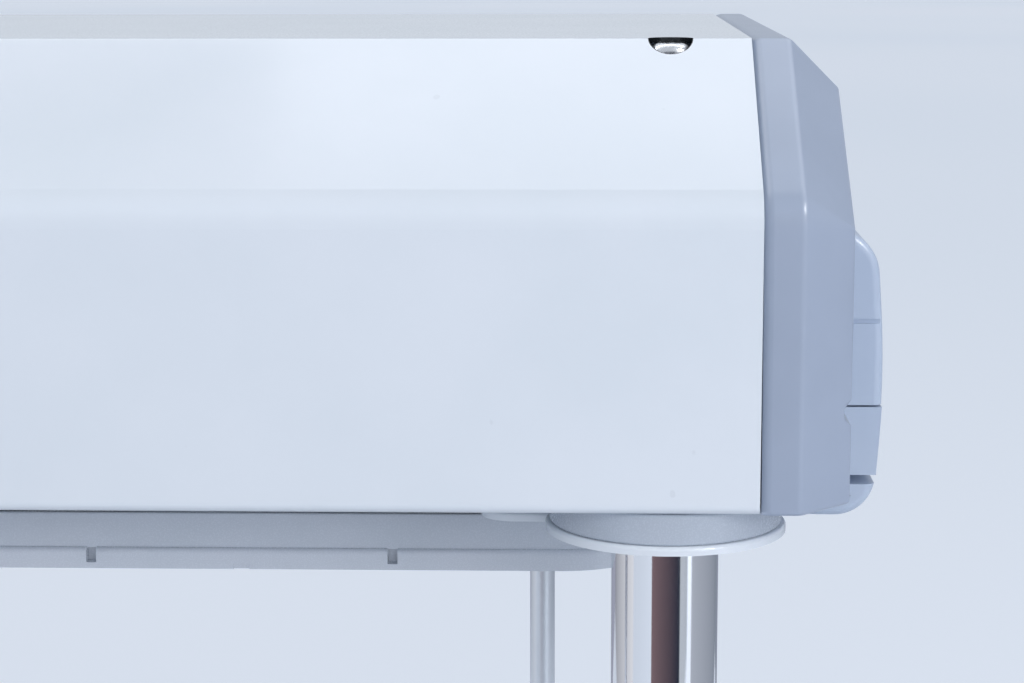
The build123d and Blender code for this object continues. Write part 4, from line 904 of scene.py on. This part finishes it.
panel = {
    "middle": (0, -142.5, 96.0),
    "normal": (0, -0.77752, 0.62887),
    "up": (0, 0.62887, 0.77752),
    "film": 1.6,
}
dialScale = {
    "ticks": 25,
    "longEvery": 4,
    "sweep": 270.0,
    "start": 225.0,
    "inner": 20.4,
    "shortTick": 1.6,
    "longTick": 3.0,
    "width": 0.45,
    "ink": 0.05,
    "numberRadius": 27.0,
    "numberSize": 4.6,
    "numbers": 7,
    "step": 20,
}
dialPointer = {"inner": 4.0, "length": 9.0, "width": 1.3, "height": 17.2}
rockerMarks = {
    "x": 52.0,
    "tilt": 6.0,
    "top": 4.6,
    "halfLength": 10.9,
    "place": 6.2,
    "size": 5.2,
    "lift": 0.03,
    "ink": 0.05,
}


# Matrix that lays flat work on the panel: X across, Y up the slope and Z out of the film
def panelMatrix(height):
    up, normal = Vector(panel["up"]), Vector(panel["normal"])
    middle = (Vector(panel["middle"]) + normal * height) * mm
    return Matrix.Translation(middle) @ Matrix((Vector((1, 0, 0)), up, normal)).transposed().to_4x4()


# Words as one mesh, each made a mesh and then laid in its own place
def makeText(name, words, thickness):
    pieces = bmesh.new()
    for word, size, matrix in words:
        curve = bpy.data.curves.new(name, "FONT")
        curve.body, curve.size = word, size * mm
        curve.align_x, curve.align_y = "CENTER", "CENTER"
        curve.extrude, curve.resolution_u = thickness * mm / 2, 3
        holder = bpy.data.objects.new(name, curve)
        mesh = bpy.data.meshes.new_from_object(holder)
        mesh.transform(matrix)
        pieces.from_mesh(mesh)
        bpy.data.objects.remove(holder)
        bpy.data.curves.remove(curve)
        bpy.data.meshes.remove(mesh)
    bmesh.ops.remove_doubles(pieces, verts=pieces.verts, dist=micron)
    bmesh.ops.recalc_face_normals(pieces, faces=pieces.faces)
    mesh = bpy.data.meshes.new(name)
    pieces.to_mesh(mesh)
    pieces.free()
    mesh.materials.append(printInk)
    piece = bpy.data.objects.new(name, mesh)
    bpy.context.scene.collection.objects.link(piece)
    return piece


# Flat quads on the panel at turns a about the dial's axis: from (r cos a, r sin a) at the inner radius
# r to the same at r + length, with half the width on each side
def layBars(turn, inner, length, width, height):
    outward = np.stack([np.cos(turn), np.sin(turn), 0 * turn], axis=-1)
    across = np.stack([-np.sin(turn), np.cos(turn), 0 * turn], axis=-1) * width / 2
    start, end = outward * inner, outward * (inner + length)[:, None]
    bars = np.stack([np.stack([spot - across, spot + across], axis=1) for spot in (start, end)], axis=1)
    matrix = np.array(panelMatrix(height))
    return list(bars @ matrix[:3, :3].T + matrix[:3, 3] / mm)


# Ticks at even turns over the sweep of the dial
def makeDialTicks(scale):
    turn = np.radians(scale["start"] - scale["sweep"] * np.linspace(0, 1, scale["ticks"]))
    long = np.arange(scale["ticks"]) % scale["longEvery"] == 0
    length = np.where(long, scale["longTick"], scale["shortTick"])
    bars = layBars(turn, scale["inner"], length, scale["width"], panel["film"] + scale["ink"])
    piece = makePiece("dial_ticks", bars, printInk)
    addWall(piece, scale["ink"])
    return settle(piece, "frame", "panel_film")


# Line on top of the knob, over its raised pointer, which rests at the first tick
def makeDialPointer(scale, line):
    turn, length = np.radians([scale["start"]]), np.array([line["length"]])
    bars = layBars(turn, line["inner"], length, line["width"], line["height"] + scale["ink"])
    piece = makePiece("dial_pointer", bars, printInk)
    addWall(piece, scale["ink"])
    return settle(piece, "dial", "panel_film")


def makeDialNumbers(scale):
    words = []
    for number in range(scale["numbers"]):
        turn = math.radians(scale["start"] - scale["sweep"] * number / (scale["numbers"] - 1))
        spot = Vector((math.cos(turn), math.sin(turn), 0)) * scale["numberRadius"] * mm
        matrix = panelMatrix(panel["film"] + scale["ink"] / 2) @ Matrix.Translation(spot)
        words.append((str(number * scale["step"]), scale["numberSize"], matrix))
    settle(makeText("dial_numbers", words, scale["ink"]), "frame", "panel_film")


# A bar and a ring on the two slanted faces of each rocker, which rests tilted about its pin
def makeRockerMarks(marks):
    tilt = math.radians(marks["tilt"])
    dip = marks["halfLength"] * math.tan(tilt)
    height = marks["top"] - dip * (1 - marks["place"] / marks["halfLength"]) + marks["lift"]
    for name, body, side in (("power", "power_switch", -1), ("vacuum", "vacuum_switch", 1)):
        pin = Matrix.Translation(Vector((side * marks["x"], 0, 0)) * mm) @ Matrix.Rotation(tilt, 4, "X")
        words = []
        for word, end in (("I", 1), ("O", -1)):
            spot = Vector((0, end * marks["place"], height)) * mm
            face = Matrix.Translation(spot) @ Matrix.Rotation(end * tilt, 4, "X")
            words.append((word, marks["size"], panelMatrix(0) @ pin @ face))
        settle(makeText(name + "_rocker_marks", words, marks["ink"]), body, "panel_film")


makeDialTicks(dialScale)
makeDialPointer(dialScale, dialPointer)
makeDialNumbers(dialScale)
makeRockerMarks(rockerMarks)
print("panel printed")


studio = {
    "floorReach": 40.0,  # m
    "floorColours": ("#f0f3f8", "#eaeff5"),
    "floorBounce": "#bfc4cc",  # what the floor gives back to the object
    "floorGlow": ("#e4eaf5", 0.135),  # for the camera, gloss and glass alone
    "sky": ("#e4ebf5", 0.80),
}
lamps = {
    "keyLamp": {"place": (0.5, -1.9, 1.0), "size": (2.0, 1.2), "watts": 11.6, "colour": "#fbfbfd"},
    "sideLamp": {"place": (1.5, -1.1, 0.5), "size": (1.0, 0.8), "watts": 6.0, "colour": "#f6f8ff"},
    "glintLamp": {"place": (1.21, -0.63, 1.32), "size": (0.3, 0.3), "watts": 14.0, "glossOnly": True},
}
# Two opposite corners, the colours at the two ends and the strength. A card whose corners have one
# height is level, and the others stand.
cards = {
    "darkCard": ((-0.29, -0.8, 0), (0.54, -0.8, 0.36), "#806b70", "#1e293b"),
    "paleCard": ((0.54, -0.8, 0), (0.9, -0.8, 0.36), "#c9d0d9", "#b4bcc8"),
    "greyCard": ((0.75, -0.5, 0), (0.75, 0.75, 1.2), "#b6bcc8", "#868e9b"),
    "leftCard": ((-0.7, -0.35, 0), (-0.7, 0.75, 0.7), "#e9ebf1", "#92959f"),
    "backCard": ((-0.7, 0.75, 0), (0.75, 0.75, 0.45), "#a6a9bb", "#8b93a1"),
    "farCard": ((-2, -2.6, 0.4), (2, -2.6, 1.6), "#5b606a", "#5b606a"),
    "roofCard": ((-2, 0.235, 1.6), (2, 0.9, 1.6), "#f4f8ff", "#f4f8ff", 3.1),
    "roofPatch": ((-0.42, 0.255, 1.58), (-0.145, 0.36, 1.58), "#8f97a3", "#8f97a3"),
}


# A lamp is seen either by reflections alone or by everything but them.
def areaLamp(name, place, size, watts, colour="#ffffff", target=(0, 0, 0.3), glossOnly=False):
    data = bpy.data.lights.new(name, "AREA")
    data.shape = "RECTANGLE"
    data.size, data.size_y = size
    data.energy = watts
    data.color = toLinear(colour)[:3]
    lamp = bpy.data.objects.new(name, data)
    lamp.location = place
    lamp.visible_glossy, lamp.visible_diffuse = glossOnly, not glossOnly
    lamp.rotation_euler = (Vector(target) - Vector(place)).to_track_quat("-Z", "Y").to_euler()
    bpy.context.scene.collection.objects.link(lamp)


def stageSheet(name, corners, material):
    mesh = bpy.data.meshes.new(name)
    mesh.from_pydata(corners, [], [(0, 1, 2, 3)])
    mesh.materials.append(material)
    sheet = bpy.data.objects.new(name, mesh)
    bpy.context.scene.collection.objects.link(sheet)
    return sheet


# Plain pale floor in two close tones that pass into each other over metres. The camera, gloss and
# glass see it pale; the light that it throws back on the object is darker.
def makeFloor(settings):
    reach = settings["floorReach"]
    material, tree, shader, coords = startMaterial("paleStudioFloor", {"Roughness": 0.9, "IOR": 1.3})
    pools = grain(tree, coords, 4000, detail=1)
    first, second = settings["floorColours"]
    seen = tint(tree, pools, first, second)
    bounced = addNode(tree, "ShaderNodeLightPath").outputs["Is Diffuse Ray"]
    bounce = {"data_type": "RGBA", 7: toLinear(settings["floorBounce"])}
    colour = addNode(tree, "ShaderNodeMix", bounce, {0: bounced, 6: seen}).outputs[2]
    tree.links.new(colour, shader.inputs["Base Color"])
    glowColour, glow = settings["floorGlow"]
    shader.inputs["Emission Color"].default_value = toLinear(glowColour)
    clear = addNode(tree, "ShaderNodeMath", {"operation": "SUBTRACT", 0: 1.0}, {1: bounced}).outputs[0]
    shown = addNode(tree, "ShaderNodeMath", {"operation": "MULTIPLY", 1: glow}, {0: clear}).outputs[0]
    tree.links.new(shown, shader.inputs["Emission Strength"])
    corners = [(-reach, -reach, 0), (reach, -reach, 0), (reach, reach, 0), (-reach, reach, 0)]
    stageSheet("floor", corners, material)


# Card that only reflections see, from one colour at its first end to another at its second end
def makeCard(name, low, high, first, second, strength=1.0):
    if low[0] == high[0]:
        corners = [low, (*high[:2], low[2]), high, (*low[:2], high[2])]
        axis, start, end = "Y", low[1], high[1]
    else:
        corners = [low, (high[0], *low[1:]), high, (low[0], *high[1:])]
        axis, start, end = "X", low[0], high[0]
    material = bpy.data.materials.new(name)
    material.use_nodes = True
    tree = material.node_tree
    tree.nodes.clear()
    coords = addNode(tree, "ShaderNodeTexCoord").outputs["Object"]
    along = addNode(tree, "ShaderNodeSeparateXYZ", {}, {0: coords}).outputs[axis]
    colour = tint(tree, along, first, second, start, end)
    glow = addNode(tree, "ShaderNodeEmission", {"Strength": strength}, {"Color": colour})
    addNode(tree, "ShaderNodeOutputMaterial", {}, {"Surface": glow.outputs[0]})
    sheet = stageSheet(name, corners, material)
    sheet.visible_camera = sheet.visible_diffuse = sheet.visible_shadow = sheet.visible_transmission = False


def makeSky(settings):
    world = bpy.data.worlds.new("studio")
    world.use_nodes = True
    colour, strength = settings["sky"]
    back = world.node_tree.nodes["Background"]
    back.inputs["Color"].default_value = toLinear(colour)
    back.inputs["Strength"].default_value = strength
    bpy.context.scene.world = world


makeFloor(studio)
makeSky(studio)
for name, card in cards.items():
    makeCard(name, *card)
for name, lamp in lamps.items():
    areaLamp(name, **lamp)
bpy.context.scene.view_settings.view_transform = "Standard"
print("stage lit")
